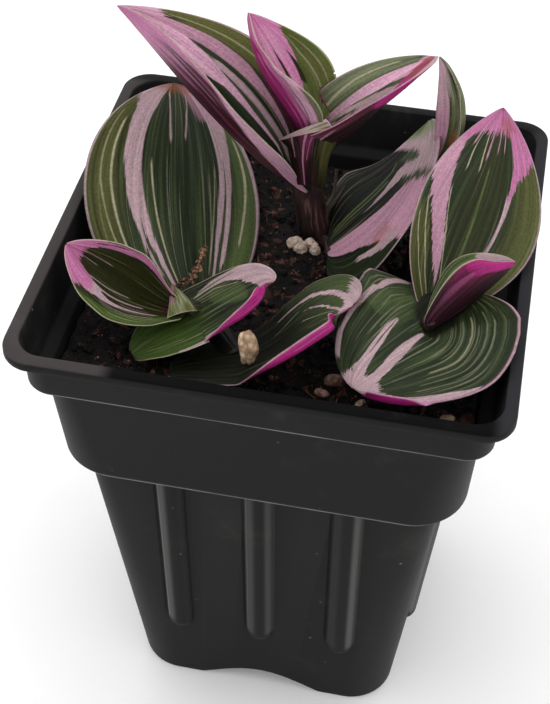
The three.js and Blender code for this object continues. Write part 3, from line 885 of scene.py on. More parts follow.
@dataclass
class Soil:
    """The potting mix: a crumbly heap with loose crumbs and fibres on it."""
    half: float = 43.75
    corner: float = 8.5
    top: float = 112.0
    sides: Stops = ((31.8, 9.6, 9.2), (37.9, 5.0, 88.8), (42.6, 8.8, 89.3), (43.75, 8.5, 108.5))
    cells: int = 250
    around: int = 560
    crumbs: int = 1500
    grit: int = 4500
    fibres: int = 110
    hollows: tuple[tuple[float, float, float, float], ...] = ((7.5, 3.0, 7.0, 1.6), (-29.0, -29.0, 7.0, 1.8))

    def height(self, flat: Array) -> Array:
        """The soil's height at each place.

        Args:
            flat: X and Y, a row each.

        Returns:
            Heights, one a row.
        """
        high = self.top + 0.75 * ripple(flat * 0.09, 3) + 0.5 * ripple(flat * 0.31, 4)
        high += 0.42 * ripple(flat * 0.8, 5) + 0.3 * np.abs(ripple(flat * 1.7, 6)) + 0.12 * ripple(flat * 3.9, 7)
        for x, y, radius, depth in self.hollows:
            away = np.linalg.norm(flat - (x, y), axis=-1)
            high -= depth * (1 - step(away, 0.2 * radius, radius))
        return high

    def even(self, ring: Array) -> Array:
        """A ring with its points evenly spread."""
        closed = np.vstack([ring, ring[:1]])
        length = np.r_[0, np.cumsum(np.linalg.norm(np.diff(closed, axis=0), axis=1))]
        places = np.linspace(0, length[-1], self.around, endpoint=False)
        return np.column_stack([np.interp(places, length, closed[:, axis]) for axis in range(3)])

    def inside(self, flat: Array, spare: float = 0.0) -> Array:
        """Whether each place is within the rounded square, with some spare room."""
        over = np.maximum(np.abs(flat) - (self.half - self.corner), 0)
        return np.linalg.norm(over, axis=-1) < self.corner - spare

    def heap(self) -> Skin:
        """The body of the soil, its top a fine net of points."""
        pot = Pot()
        shares = np.linspace(1, 0.004, self.cells // 2) ** 0.9
        rings = [self.even(pot.ring(*stop)) for stop in self.sides]
        flat = rings[-1][:, :2]
        for share in shares:
            here = flat * share
            rings.append(np.column_stack([here, self.height(here)]))
        return loft(rings)

    def lump(self, ball: Skin, centre: Array, size: float, draw: np.random.Generator, seed: int) -> Skin:
        """One uneven crumb.

        Args:
            ball: The shape that it is made from.
            centre: Where it lies.
            size: About its radius.
            draw: The source of random numbers.
            seed: Which unevenness it gets.

        Returns:
            The crumb.
        """
        shape = ball.points * (1 + 0.3 * ripple(ball.points * 1.3 + seed, seed))[:, None]
        shape *= size * draw.uniform(0.6, 1.25, 3)
        return Skin(shape @ tumble(draw).T + centre, ball.faces)

    def strip(self, centre: Array, draw: np.random.Generator) -> Skin:
        """One thin bent fibre that lies on the soil.

        Args:
            centre: Where it starts.
            draw: The source of random numbers.

        Returns:
            The fibre.
        """
        length = draw.uniform(1.8, 5.5)
        heading, bend = draw.uniform(0, 6.28), draw.uniform(-1.2, 1.2)
        share = np.linspace(0, 1, 9)
        angle = heading + bend * share
        path = np.cumsum(np.column_stack([np.cos(angle), np.sin(angle)]) * length / 8, axis=0) + centre[:2]
        path = np.clip(path, -self.half + 2, self.half - 2)
        rise = self.height(path) + 0.35 + 0.5 * np.sin(share * math.pi) * draw.uniform(0, 1)
        spine = np.column_stack([path, rise])
        return tube(spine, np.full_like(share, draw.uniform(0.08, 0.2)), 6)

    def strewn(self, ball: Skin, count: int, low: float, spread: float, draw: np.random.Generator) -> list[Skin]:
        """Crumbs strewn over the soil.

        Args:
            ball: The shape that they are made from.
            count: How many.
            low: The smallest size.
            spread: How much larger the largest are.
            draw: The source of random numbers.

        Returns:
            The crumbs.
        """
        lumps = []
        while len(lumps) < count:
            flat = draw.uniform(-self.half, self.half, 2)
            size = low + spread * draw.random() ** 3
            if self.inside(flat[None], size + 0.4)[0]:
                centre = np.array([*flat, self.height(flat[None])[0] + size * 0.25])
                lumps.append(self.lump(ball, centre, size, draw, len(lumps)))
        return lumps

    def build(self) -> None:
        """Makes the heap and what lies on it."""
        dark = Compost().material("compost_dark", 0.12)
        item = self.heap().mesh("soil_heap", [dark])
        dress(item, "soil", "soil")
        draw = np.random.default_rng(11)
        lumps = self.strewn(sphere(2), self.crumbs, 0.3, 0.7, draw)
        grit = self.strewn(sphere(1), self.grit, 0.1, 0.22, draw)
        for name, part, mix in (
                ("soil_crumbs_dark", lumps[::2], (Compost(), 0.12)),
                ("soil_crumbs_bark", lumps[1::2], (Compost(), 0.5)),
                ("soil_grit", grit, (Compost((26, 16, 14), (70, 44, 36), (168, 124, 102)), 0.4))):
            dress(join(part).mesh(name, [mix[0].material(name, mix[1])]), "soil")
        strips = []
        while len(strips) < self.fibres:
            flat = draw.uniform(-self.half, self.half, 2)
            if self.inside(flat[None], 6.5)[0]:
                strips.append(self.strip(flat, draw))
        dress(join(strips).mesh("soil_fibres", [Compost(warm=(96, 66, 48)).material("fibre", 0.7)]), "soil")


def sphere(levels: int) -> Skin:
    """A ball of radius 1 made of triangles.

    Args:
        levels: How finely it is split.

    Returns:
        The ball.
    """
    work = bmesh.new()
    bmesh.ops.create_icosphere(work, subdivisions=levels, radius=1.0)
    points = np.array([vert.co[:] for vert in work.verts])
    faces = [tuple(vert.index for vert in face.verts) for face in work.faces]
    work.free()
    return Skin(points, faces)


def tube(spine: Array, radii: Array, sides: int, ridges: float = 0.0, seed: int = 1) -> Skin:
    """A round stalk along a line of points.

    Args:
        spine: The line.
        radii: The radius at each of its points.
        sides: How many sides it has.
        ridges: How deep its length-wise ridges are, as a share of the radius.
        seed: Which unevenness it gets.

    Returns:
        The closed stalk, with a chart "stalk" of round and along.
    """
    ahead = unit(np.gradient(spine, axis=0))
    side = np.cross(ahead[0], (0.2, 1.0, 0.3))
    angles = np.linspace(0, 2 * math.pi, sides, endpoint=False)
    along = np.r_[0, np.cumsum(np.linalg.norm(np.diff(spine, axis=0), axis=1))]
    rings, charts = [], []
    for point, axis, radius, far in zip(spine, ahead, radii, along):
        side = unit(side - axis * (side @ axis))
        other = np.cross(axis, side)
        look = np.column_stack([np.cos(angles) * 2.2, np.sin(angles) * 2.2, np.full(sides, far * 0.06)])
        wave = 1 + ridges * (np.cos(13 * angles + 0.1 * far) * 0.6 + ripple(look * 1.7, seed))
        ring = point + radius * wave[:, None] * (np.cos(angles)[:, None] * side + np.sin(angles)[:, None] * other)
        rings.append(ring)
        charts.append(np.column_stack([angles / (2 * math.pi), np.full(sides, far / 100)]))
    skin = loft(rings)
    skin.charts["stalk"] = np.vstack(charts)
    return skin


def threaded(points: tuple[Point, ...], values: tuple[float, ...], count: int) -> tuple[Array, Array]:
    """A smooth line through a few points, and values along it.

    Args:
        points: The points.
        values: A value at each point.
        count: How many points the line has.

    Returns:
        The line and the values.
    """
    knots = np.array(points, dtype=float)
    padded = np.vstack([2 * knots[0] - knots[1], knots, 2 * knots[-1] - knots[-2]])
    places = np.linspace(0, len(knots) - 1, count)
    span = np.minimum(places.astype(int), len(knots) - 2)
    t = (places - span)[:, None]
    a, b, c, d = (padded[span + k] for k in range(4))
    line = 0.5 * (2 * b + (c - a) * t + (2 * a - 5 * b + 4 * c - d) * t ** 2 + (3 * b - a - 3 * c + d) * t ** 3)
    kept = np.interp(np.linspace(0, len(values) - 1, count), range(len(values)), values)
    return line, kept


# Leaves

@dataclass(frozen=True)
class Stripe:
    """A band of one paint along the veins.

    Each stop is a place along the blade and the band's left and right edge there, in hundredths. The
    rims are at -100 and 100, the base at 0 and the tip at 100, with the lobes below 0. How soft the
    edges are, and how far an end fades out, is in hundredths too.
    """
    ink: Ink
    stops: Stops
    share: float = 1.0
    soft: float = 2.0
    fringe: float = 1.0
    ease: float = 0.0


def across_chart(u: Array) -> Array:
    """A place across a blade, -1 to 1 between its rims, as the chart has it."""
    return (u + CHART_SPAN / 2) / CHART_SPAN


def along_chart(v: Array) -> Array:
    """A place along a blade, 0 to 1 from base to tip, as the chart has it."""
    return (v + 1) / 2


@dataclass(frozen=True)
class BladePaint:
    """One face of a blade: its ground colours and the stripes that lie on it."""
    dark: Ink
    light: Ink
    rim: Ink
    stripes: tuple[Stripe, ...]
    gloss: float = 0.42
    # How strongly painted glints, small highlight dots, lighten the colour.
    painted_glint: float = 0.3
    free: Span = (0.03, 0.985)
    point: float = 0.015

    def ground(self, graph: Graph, wide: Wire, along: Wire) -> tuple[Wire, Wire]:
        """The green between the stripes, and the fine veins in it.

        Args:
            graph: The finish's graph.
            wide: The place across the blade, in millimetres.
            along: The place along the blade.

        Returns:
            The ground colour and the veins' height.
        """
        vein = graph.streaks(wide * 1.5, along * 3, seed=1.7, detail=2, rough=0.6)
        fine = graph.streaks(wide * 3.6, along * 9, seed=6.3)
        broad = graph.streaks(wide * 0.35, along * 2.5, seed=5.1, detail=2)
        share = (vein * 0.5 + fine * 0.25 + broad * 0.4).smooth(0.48, 0.74)
        colour = graph.blend(share, self.dark.colour, self.light.colour)
        line = graph.streaks(wide * 1.9, along * 2.2, seed=9.1).smooth(0.6, 0.68)
        pale = graph.blend(0.45, self.light.colour, Ink.CREAM.colour)
        return graph.blend(line * 0.5, colour, pale), vein

    def material(self, name: str, half: float) -> bpy.types.Material:
        """Builds the finish of this face.

        Args:
            name: The material's name.
            half: The blade's half width, in millimetres.

        Returns:
            The material.
        """
        graph = Graph(name)
        across, along = graph.chart("blade")
        wide = across * (CHART_SPAN * half)
        colour, vein = self.ground(graph, wide, along)
        shake = graph.streaks(across * 70, along * 9, seed=2.2, detail=2) - 0.5
        fringe = graph.streaks(wide * 3, along * 2, seed=8.4) - 0.5
        side = across + shake * 0.006
        for stripe in self.stripes:
            far = along + fringe * (0.05 * stripe.fringe)
            colour = graph.blend(self.band(graph, side, far, stripe), colour, stripe.ink.colour)
        rim = graph.chart("rim")[0]
        colour = graph.blend((rim + shake * 0.01).smooth(0.965, 0.99) * 0.85, colour, self.rim.colour)
        mottle = graph.streaks(wide * 2.2, along * 190, seed=3.3, detail=3, rough=0.65)
        # Painted glints: small dots of highlight laid into the colour.
        dot = graph.cells(graph.place(wide * 1.7, along * 150), scale=1)
        glint = (1 - dot.smooth(0.1, 0.26)) * graph.streaks(wide, along * 90, seed=4.0).smooth(0.5, 0.62)
        shade = 0.66 + vein.smooth(0.3, 0.7) * 0.32 + mottle.smooth(0.3, 0.7) * 0.36 + glint * self.painted_glint
        colour = graph.blend(1.0, colour, shade, "MULTIPLY")
        height = vein * 0.55 + mottle * 0.45
        return graph.finish(height, depth=0.0003, strength=0.6, Base_Color=colour, Roughness=self.gloss + mottle * 0.12,
                            Specular_IOR_Level=0.14)

    def band(self, graph: Graph, across: Wire, along: Wire, stripe: Stripe) -> Wire:
        """The mask of one stripe.

        Args:
            graph: The finish's graph.
            across: The place across the blade, by its chart.
            along: The place along it, by its chart.
            stripe: The stripe.

        Returns:
            1 on the stripe and 0 off it.
        """
        stops = [(along_chart(v / 100), across_chart(left / 100), across_chart(right / 100), stripe.share)
                 for v, left, right in stripe.stops]
        if stops[0][0] > self.free[0]:
            stops.insert(0, self.faded(stops[0], -1, stripe.ease / 100))
        if stops[-1][0] < self.free[1]:
            stops.append(self.faded(stops[-1], 1, stripe.ease / 100))
        ramp = graph.node("ValToRGB", {"stops": tuple(stops)}, {0: along})
        left, right, share = graph.split(ramp, "SeparateColor")
        soft = stripe.soft / 100 / CHART_SPAN
        inner = (across - left) / soft + 0.5
        outer = (right - across) / soft + 0.5
        return inner.smooth(0, 1) * outer.smooth(0, 1) * share

    def faded(self, stop: tuple[float, ...], way: int, ease: float) -> tuple[float, ...]:
        """The stop past an end where a stripe has faded out: as wide as before when it is eased, or pointed.

        Args:
            stop: The last stop at that end.
            way: -1 for the end near the base, 1 for the other.
            ease: How far it fades, or 0 for a pointed end.

        Returns:
            The stop to add.
        """
        place, left, right, _ = stop
        if ease:
            return min(max(place + way * ease, 0.0), 1.0), left, right, 0.0
        middle = (left + right) / 2
        return place + way * self.point, middle, middle, 0.0


@dataclass(frozen=True)
class Curl:
    """A margin that turns up: which side, how high and between which places along the blade."""
    side: int
    height: float
    start: float
    end: float
    turn: float = 75.0
    rise: float = 0.15


@dataclass(frozen=True)
class Leaf:
    """One blade: a midrib of four handles, with a fold and a cup on each side of it.

    Faces are the ways it looks at its base and its tip. Its half width is reached at broad along it, full
    and neck shape its outline, and back says how far its lobes reach behind the base. Left and right are
    that side's fold at the base and the tip and its cup there, in degrees. Slim narrows the right side,
    foot tapers the base over that share, and hold keeps the right lobe turned as it is at that place.
    """
    name: str
    _: KW_ONLY
    midrib: tuple[Point, Point, Point, Point]
    faces: tuple[Point, Point]
    half: float
    broad: float
    full: float
    neck: float
    left: tuple[float, float, float, float]
    right: tuple[float, float, float, float]
    upper: BladePaint
    under: BladePaint
    back: float = 0.0
    slim: float = 1.0
    curls: tuple[Curl, ...] = ()
    behind: tuple["Leaf", ...] = ()
    foot: float = 0.0
    hold: float | None = None
    rows: int = 110
    columns: int = 35
    thick: float = 0.55
    wave: float = 0.22
    tip: float = 0.999
    lobe_start: float = 0.97
    gap: float = 0.2
    fine: int = 6

    def frame(self, v: Array) -> tuple[Array, Array, Array]:
        """The midrib at each place along the blade.

        Args:
            v: Places along the blade.

        Returns:
            The midrib's points, the way across the blade and the way its face looks.
        """
        along = np.clip(v, 0, 1)[:, None]
        a, b, c, d = (np.array(handle, dtype=float) for handle in self.midrib)
        rest = 1 - along
        middle = rest ** 3 * a + 3 * rest ** 2 * along * b + 3 * rest * along ** 2 * c + along ** 3 * d
        tangent = unit(rest ** 2 * (b - a) + 2 * rest * along * (c - b) + along ** 2 * (d - c))
        length = sum(np.linalg.norm(q - p) for p, q in ((a, b), (b, c), (c, d)))
        middle = middle + np.minimum(v, 0)[:, None] * length * tangent
        first, second = (unit(np.array(face, dtype=float)) for face in self.faces)
        across = unit(np.cross(tangent, first * rest + second * along))
        return middle, across, np.cross(across, tangent)

    def width(self, v: Array) -> Array:
        """The half width at each place along the blade.

        Args:
            v: Places along the blade.

        Returns:
            Half widths, in millimetres.
        """
        share = np.clip((v + self.back) / (1 + self.back), 0, 1)
        skew = math.log(0.5) / math.log(self.broad)
        outline = np.clip(np.sin(math.pi * share ** skew), 0, 1) ** self.full
        rise = step(v, -self.foot / 3, self.foot) if self.foot else 1.0
        return self.half * (self.neck * (1 - share) ** 4 + outline) * rise

    def half_sheet(self, v: Array, sign: int) -> tuple[Array, Array]:
        """One side of the blade's middle surface, with its curl.

        Args:
            v: Places along the blade.
            sign: -1 for the left side, 1 for the right one.

        Returns:
            Points by row and column from the midrib out, and the place across of each.
        """
        middle, across, face = self.frame(v)
        width = self.width(v) * (self.slim if sign > 0 else 1)
        if sign > 0 and self.hold is not None:
            _, across, face = self.frame(np.maximum(v, self.hold))
            width = width * (1 + np.minimum(v, 0))
        along = np.clip(v, 0, 1)
        fold0, fold1, cup0, cup1 = np.radians(self.left if sign < 0 else self.right)
        fold, cup = fold0 + (fold1 - fold0) * along, cup0 + (cup1 - cup0) * along
        extra, turn = np.zeros(len(v)), 0.0
        for curl in self.curls:
            if curl.side == sign:
                room = step(v, curl.start, curl.start + curl.rise) * (1 - step(v, curl.end - 0.15, curl.end))
                extra = np.maximum(extra, curl.height * room * step(width, 0.5, 5.0))
                turn = math.radians(curl.turn)
        share = np.linspace(0, 1, self.columns * self.fine + 1)
        reach = share[None] * (1 + extra / np.maximum(width, 0.3))[:, None]
        bend = turn * step(reach, 0.97, 1.08) * step(extra, 0.0, 2.0)[:, None]
        angle = fold[:, None] + cup[:, None] * np.minimum(reach, 1) + bend
        pace = np.diff(reach, axis=1) * width[:, None]
        middle_angle = (angle[:, 1:] + angle[:, :-1]) / 2
        out, lift = (np.cumsum(pace * way(middle_angle), axis=1) for way in (np.cos, np.sin))
        out, lift = (np.pad(table, ((0, 0), (1, 0))) for table in (out, lift))
        out, lift, reach = (table[:, ::self.fine] for table in (out, lift, reach))
        points = middle[:, None] + sign * out[..., None] * across[:, None] + lift[..., None] * face[:, None]
        return points, sign * reach

    @property
    def node(self) -> str:
        """The name of its solid."""
        return f"leaf_{self.name}"

    def skin(self) -> Skin:
        """The closed blade with its charts, its upper side painted 0 and its under side 1."""
        share = np.linspace(0, 1, self.rows)
        start = -self.back * self.lobe_start
        v = start + (self.tip - start) * (1 - (1 - share) ** 1.5)
        left, left_u = self.half_sheet(v, -1)
        right, right_u = self.half_sheet(v, 1)
        sheet = np.concatenate([left[:, ::-1], right], axis=1)
        u = np.concatenate([left_u[:, ::-1], right_u], axis=1)
        half = self.columns + 1
        side = np.concatenate([np.gradient(part, axis=1) for part in (sheet[:, :half], sheet[:, half:])], axis=1)
        normal = unit(np.cross(side, np.gradient(sheet, axis=0)))
        normal[:, half - 1] = normal[:, half] = unit(normal[:, half - 1] + normal[:, half])
        place = np.concatenate([np.linspace(-1, 0, half), np.linspace(0, 1, half)]) * np.ones((len(v), 1))
        sheet = sheet + normal * self.relief(u, v, place)[..., None]
        edge = np.abs(place)
        slim = 0.35 + 0.65 * step(self.width(v)[:, None] * np.ones_like(place), 0.2, 3.0)
        thick = self.thick / 2 * slim * np.sqrt(np.maximum(1 - edge ** 14, 0))
        top, bottom = sheet + normal * thick[..., None], sheet - normal * thick[..., None]
        far = along_chart(v[:, None] * np.ones_like(place))
        charts = {"blade": np.stack([across_chart(u), far], -1), "rim": np.stack([edge, far], -1)}
        faces, paints = self.closed()
        used, faces = compact(faces)
        doubled = {name: np.concatenate([chart, chart]).reshape(-1, 2)[used] for name, chart in charts.items()}
        return Skin(np.concatenate([top, bottom]).reshape(-1, 3)[used], faces, doubled, paints)

    def relief(self, u: Array, v: Array, place: Array) -> Array:
        """How far the blade stands off its smooth surface: slow waves, and pleats along its veins.

        Args:
            u: Places across the blade.
            v: Places along the blade.
            place: Where each point lies between the midrib, 0, and the rims, -1 and 1.

        Returns:
            Heights, in millimetres.
        """
        seed = sum(map(ord, self.node))
        far = v[:, None] * np.ones_like(u)
        loose = ripple(np.stack([u * 2.2, far * 3.5], -1), seed) * self.wave
        loose += ripple(np.stack([u * 1.3, far * 9.0], -1), seed + 1) * self.wave * 0.8 * np.abs(place) ** 3
        pleat = np.cos(u * self.half * 2.1) * 0.05
        pleat += ripple(np.stack([u * self.half * 0.9, far * 2], -1), seed + 2) * 0.07
        return loose + pleat * (1 - place ** 6)

    def closed(self) -> tuple[Faces, Array]:
        """Faces of a blade whose two sides share their rims and midrib.

        Returns:
            The faces, and 0 for each upper face and 1 for each under one.
        """
        half = self.columns + 1
        upper = np.arange(self.rows * 2 * half).reshape(self.rows, 2 * half)
        under = upper + upper.size
        for numbers in (upper, under):
            numbers[:, half] = numbers[:, half - 1]
        under[:, [0, -1]] = upper[:, [0, -1]]
        upper, under = upper.tolist(), under.tolist()
        faces, paints = [], []
        for j in itertools.chain(range(half - 1), range(half, 2 * half - 1)):
            for i in range(self.rows - 1):
                faces.append((upper[i][j], upper[i][j + 1], upper[i + 1][j + 1], upper[i + 1][j]))
                faces.append((under[i][j], under[i + 1][j], under[i + 1][j + 1], under[i][j + 1]))
                paints += [0, 1]
            for face in ((upper[0][j + 1], upper[0][j], under[0][j], under[0][j + 1]),
                         (upper[-1][j], upper[-1][j + 1], under[-1][j + 1], under[-1][j])):
                faces.append(tuple(dict.fromkeys(face)))
                paints.append(1)
        return faces, np.array(paints)

    def build(self) -> None:
        """Makes the blade, which ends at those that it stays behind, and puts it in place of its solid."""
        upper = self.upper.material(f"{self.name}_upper", self.half)
        under = self.under.material(f"{self.name}_under", self.half)
        item = self.skin().mesh(f"blade_{self.name}", [upper, under])
        for other in self.behind:
            end_at(item, other.skin(), self.gap)
        dress(item, "leaf", self.node)


def band(ink: Ink, *stops: Point, share: float = 1.0, soft: float = 2.0, ease: float = 0.0) -> Stripe:
    """A stripe whose stops are given one by one."""
    return Stripe(ink, stops, share, soft, ease=ease)


def thin(ink: Ink, wide: float, *stops: Span, share: float = 0.8) -> Stripe:
    """A thin line of one width.

    Args:
        ink: Its paint.
        wide: Its width, in hundredths.
        stops: Places along and across the blade, in hundredths.
        share: How strongly it shows.

    Returns:
        The stripe.
    """
    return Stripe(ink, tuple((v, u - wide / 2, u + wide / 2) for v, u in stops), share, fringe=0.15)


def veins(ink: Ink, places: tuple[float, ...], start: float, end: float) -> tuple[Stripe, ...]:
    """Fine uneven veins along a blade, their places in hundredths.

    Args:
        ink: Their paint.
        places: Where they lie across the blade.
        start: About where they start along the blade.
        end: About where they end.

    Returns:
        The veins.
    """
    lines = []
    for k, u in enumerate(places):
        first, last = start + 5 * (k % 3), end - 7 * (k * 2 % 5)
        wide, share = 1.2 + 0.6 * (k % 2), 0.3 + 0.12 * (k % 3)
        lines.append(thin(ink, wide, (first, u * 0.96), ((first + last) / 2, u), (last, u * 0.97), share=share))
    return tuple(lines)


# The large leaf at the back left that faces the camera
BACK_LEFT = Leaf(
    "back_left", midrib=((-19, -15, 114.3), (-28.5, -2, 122), (-30.5, 20.5, 133.5), (-35.5, 33.5, 137.5)),
    faces=((0.45, -0.75, 0.45), (0.4, -0.35, 0.85)), half=21, broad=0.48, full=0.66, neck=0.2, left=(-11, -4, 11, 6),
    right=(-21, -8, 6, 6),
    upper=BladePaint(Ink.DEEP, Ink.LEAF, Ink.PALE, (
        band(Ink.OLIVE, (10, -100, -62), (60, -100, -66), (90, -100, -70), share=0.55, soft=30),
        band(Ink.MOSS, (10, 60, 100), (50, 70, 100), (80, 76, 100), share=0.6, soft=20),
        band(Ink.PALE, (6, -26, -20), (20, -39, -25), (30, -46, -31), (40, -52, -35), (55, -59, -40), (70, -64, -42),
             (80, -70, -41), (86, -78, -38), (92, -100, -34), (100, -120, -30)),
        thin(Ink.BRONZE, 3, (25, -90), (70, -93)),
        thin(Ink.NIGHT, 3, (20, -60), (50, -64), (76, -72), share=0.5),
        band(Ink.LEAF, (10, -31, -27), (20, -36, -31), (30, -42, -38.5), (33, -42, -41)),
        band(Ink.PALE, (10, 40, 46), (20, 43, 58), (35, 45, 62), (50, 50, 65), (60, 53, 68), (70, 53, 72),
             (80, 53, 80), (90, 50, 95), (100, 45, 120)),
        band(Ink.LEAF, (10, 45, 54), (20, 47, 52), (35, 52, 55.5), (50, 56.5, 59), (63, 60, 61)),
        band(Ink.PINK, (82, 40, 120), (100, 10, 120), share=0.5, soft=20),
        thin(Ink.CREAM, 2.5, (25, -64), (50, -72), (75, -76)),
        thin(Ink.CREAM, 1.8, (20, -72), (50, -83), (80, -88), share=0.5),
        thin(Ink.CREAM, 1.8, (12, -17), (35, -23.5), (58, -30)),
        thin(Ink.CREAM, 1.6, (15, 36), (40, 42), (60, 47), share=0.55),
        thin(Ink.PALE, 3, (70, -9), (82, -12), (90, -17), (100, -30)),
        thin(Ink.PALE, 3, (72, 11), (82, 16), (90, 25), (100, 40)),
        thin(Ink.CREAM, 3, (30, 76), (60, 85), (74, 86)),
        band(Ink.PALE, (15, 96, 120), (50, 95, 120), (75, 93, 120), (85, 85, 120)),
        band(Ink.RUST, (95.5, -100, 100), (100, -100, 100), share=0.6, soft=30),
    )),
    under=BladePaint(Ink.WINE, Ink.PLUM, Ink.PINK, (
        band(Ink.PINK, (6, -26, -20), (40, -51, -31), (80, -71, -37), (100, -120, -10), share=0.8),
        band(Ink.PINK, (10, 40, 46), (50, 50, 65), (80, 52, 80), (100, 20, 120), share=0.8),
    )))
# The long folded leaf that reaches to the upper left
TOP_LEFT = Leaf(
    "top_left", midrib=((-0.5, 13.5, 127), (-14.5, 10, 135.5), (-31, 20, 149), (-46.5, 28.5, 159.5)),
    faces=((-0.2, -0.1, 0.95), (0.25, 0, 0.95)), half=19, broad=0.51, full=0.87, neck=0.25, left=(57, 61, 8, 11),
    right=(27, 24, 13, 12), foot=0.24,
    upper=BladePaint(Ink.DEEP, Ink.LEAF, Ink.PALE, (
        band(Ink.OLIVE, (10, 74, 120), (80, 74, 120), (88, 82, 120), share=0.85, soft=8),
        band(Ink.BLUSH, (20, 36, 39), (40, 35, 40), (55, 34, 43), (62, 28, 47), (68, 0, 50), (72, -50, 51),
             (78, -120, 54), (86, -120, 70), (92, -120, 120), (100, -120, 120)),
        band(Ink.PALE, (15, 45, 54), (40, 46, 53), (50, 45.5, 53), (62, 45.5, 52)),
        band(Ink.PINK, (15, 62, 66), (40, 60.5, 68), (55, 58, 72), (70, 56.5, 74), (86, 53, 73), (95, 40, 70)),
        band(Ink.PINK, (15, -66, -60), (40, -68, -60), (70, -76, -56), (90, -90, -30), (100, -120, 0)),
        band(Ink.PALE, (10, -40, -30), (50, -46, -34), (90, -50, -30)),
        thin(Ink.CREAM, 2, (10, 84), (85, 84), share=0.5),
    )),
    under=BladePaint(Ink.WINE, Ink.PLUM, Ink.CREAM, (
        band(Ink.ORCHID, (84, -120, 30), (100, -120, 120), share=0.9, soft=20, ease=8),
        band(Ink.ORCHID, (50, -120, -96), (62, -120, -90), (74, -120, -80), (86, -120, -60), share=0.8, soft=5),
        band(Ink.ORCHID, (50, -70, -66), (70, -66, -58), (86, -60, -40), share=0.75, soft=5),
        band(Ink.ORCHID, (60, -46, -42), (75, -44, -34), (88, -40, -20), share=0.6, soft=5),
        thin(Ink.ORCHID, 2.5, (45, -84), (70, -76), share=0.6),
        thin(Ink.MAGENTA, 6, (35, -50), (80, -50), share=0.6),
        band(Ink.BLUSH, (0, -120, -30), (16, -120, -42), (28, -120, -58), (38, -120, -76), (48, -120, -90),
             (56, -120, -96), share=0.95, soft=8),
        band(Ink.PINK, (10, 50, 62), (60, 56, 72), (100, 20, 90), share=0.6, soft=5),
    ), gloss=0.36))
# The folded leaf that points to the upper right
TOP_RIGHT = Leaf(
    "top_right", midrib=((2.5, 17.5, 134), (6, 13, 143), (18, 23.5, 150.5), (24, 36.5, 151.5)),
    faces=((0.05, -0.1, 1), (-0.15, -0.35, 0.95)), half=10.5, broad=0.44, full=0.79, neck=0.6, left=(25, 21, 15, 10),
    right=(50, 50, 55, 0),
    upper=BladePaint(Ink.LEAF, Ink.MOSS, Ink.PALE, (
        band(Ink.GREY_GREEN, (30, -120, -60), (90, -120, -50), share=0.45, soft=40),
        thin(Ink.CREAM, 5, (30, -70), (55, -78), (80, -78), share=0.7),
        band(Ink.BLUSH, (20, -56, -46), (40, -53, -40), (50, -54, -37), (60, -56, -32), (70, -55, -28),
             (80, -53, -15), (90, -50, 20), (100, -120, 120)),
        band(Ink.PALE, (10, -62, -50), (30, -44, -30), (45, -36, -20), (60, -27, 0), (75, -10, 10), (85, 0, 30)),
        band(Ink.MOSS, (20, -46, -41), (30, -38, -34.5), (42, -30, -27)),
        band(Ink.LEAF, (30, -37, -33), (38, -34, -30), (44, -26, -24)),
        band(Ink.PALE, (10, 30, 120), (60, 30, 120), (100, 0, 120), share=0.9, soft=20),
        band(Ink.FUCHSIA, (58, -2, 30), (70, -14, 30), (82, -24, 30), (95, -50, 40), share=0.9, soft=6),
        band(Ink.RUST, (78, -20, 0), (90, -34, 10), (99, -90, 50), share=0.7, soft=12),
    )),
    under=BladePaint(Ink.WINE, Ink.PLUM, Ink.PINK, (
        band(Ink.NIGHT, (0, 0, 90), (40, 0, 80), (60, 0, 60), share=0.7, soft=30),
        band(Ink.FUCHSIA, (50, 75, 120), (58, 35, 120), (75, 10, 120), (100, -120, 120), share=0.95, soft=10),
        band(Ink.RUST, (74, -30, 120), (100, -120, 120), share=0.6, soft=20),
        thin(Ink.PINK, 6, (0, 50), (15, 66), (30, 85), share=0.55),
        thin(Ink.PINK, 5, (0, 70), (15, 84), (25, 95), share=0.5),
        band(Ink.PLUM, (10, 86, 120), (50, 90, 120), share=0.8, soft=10),
    ), gloss=0.36))
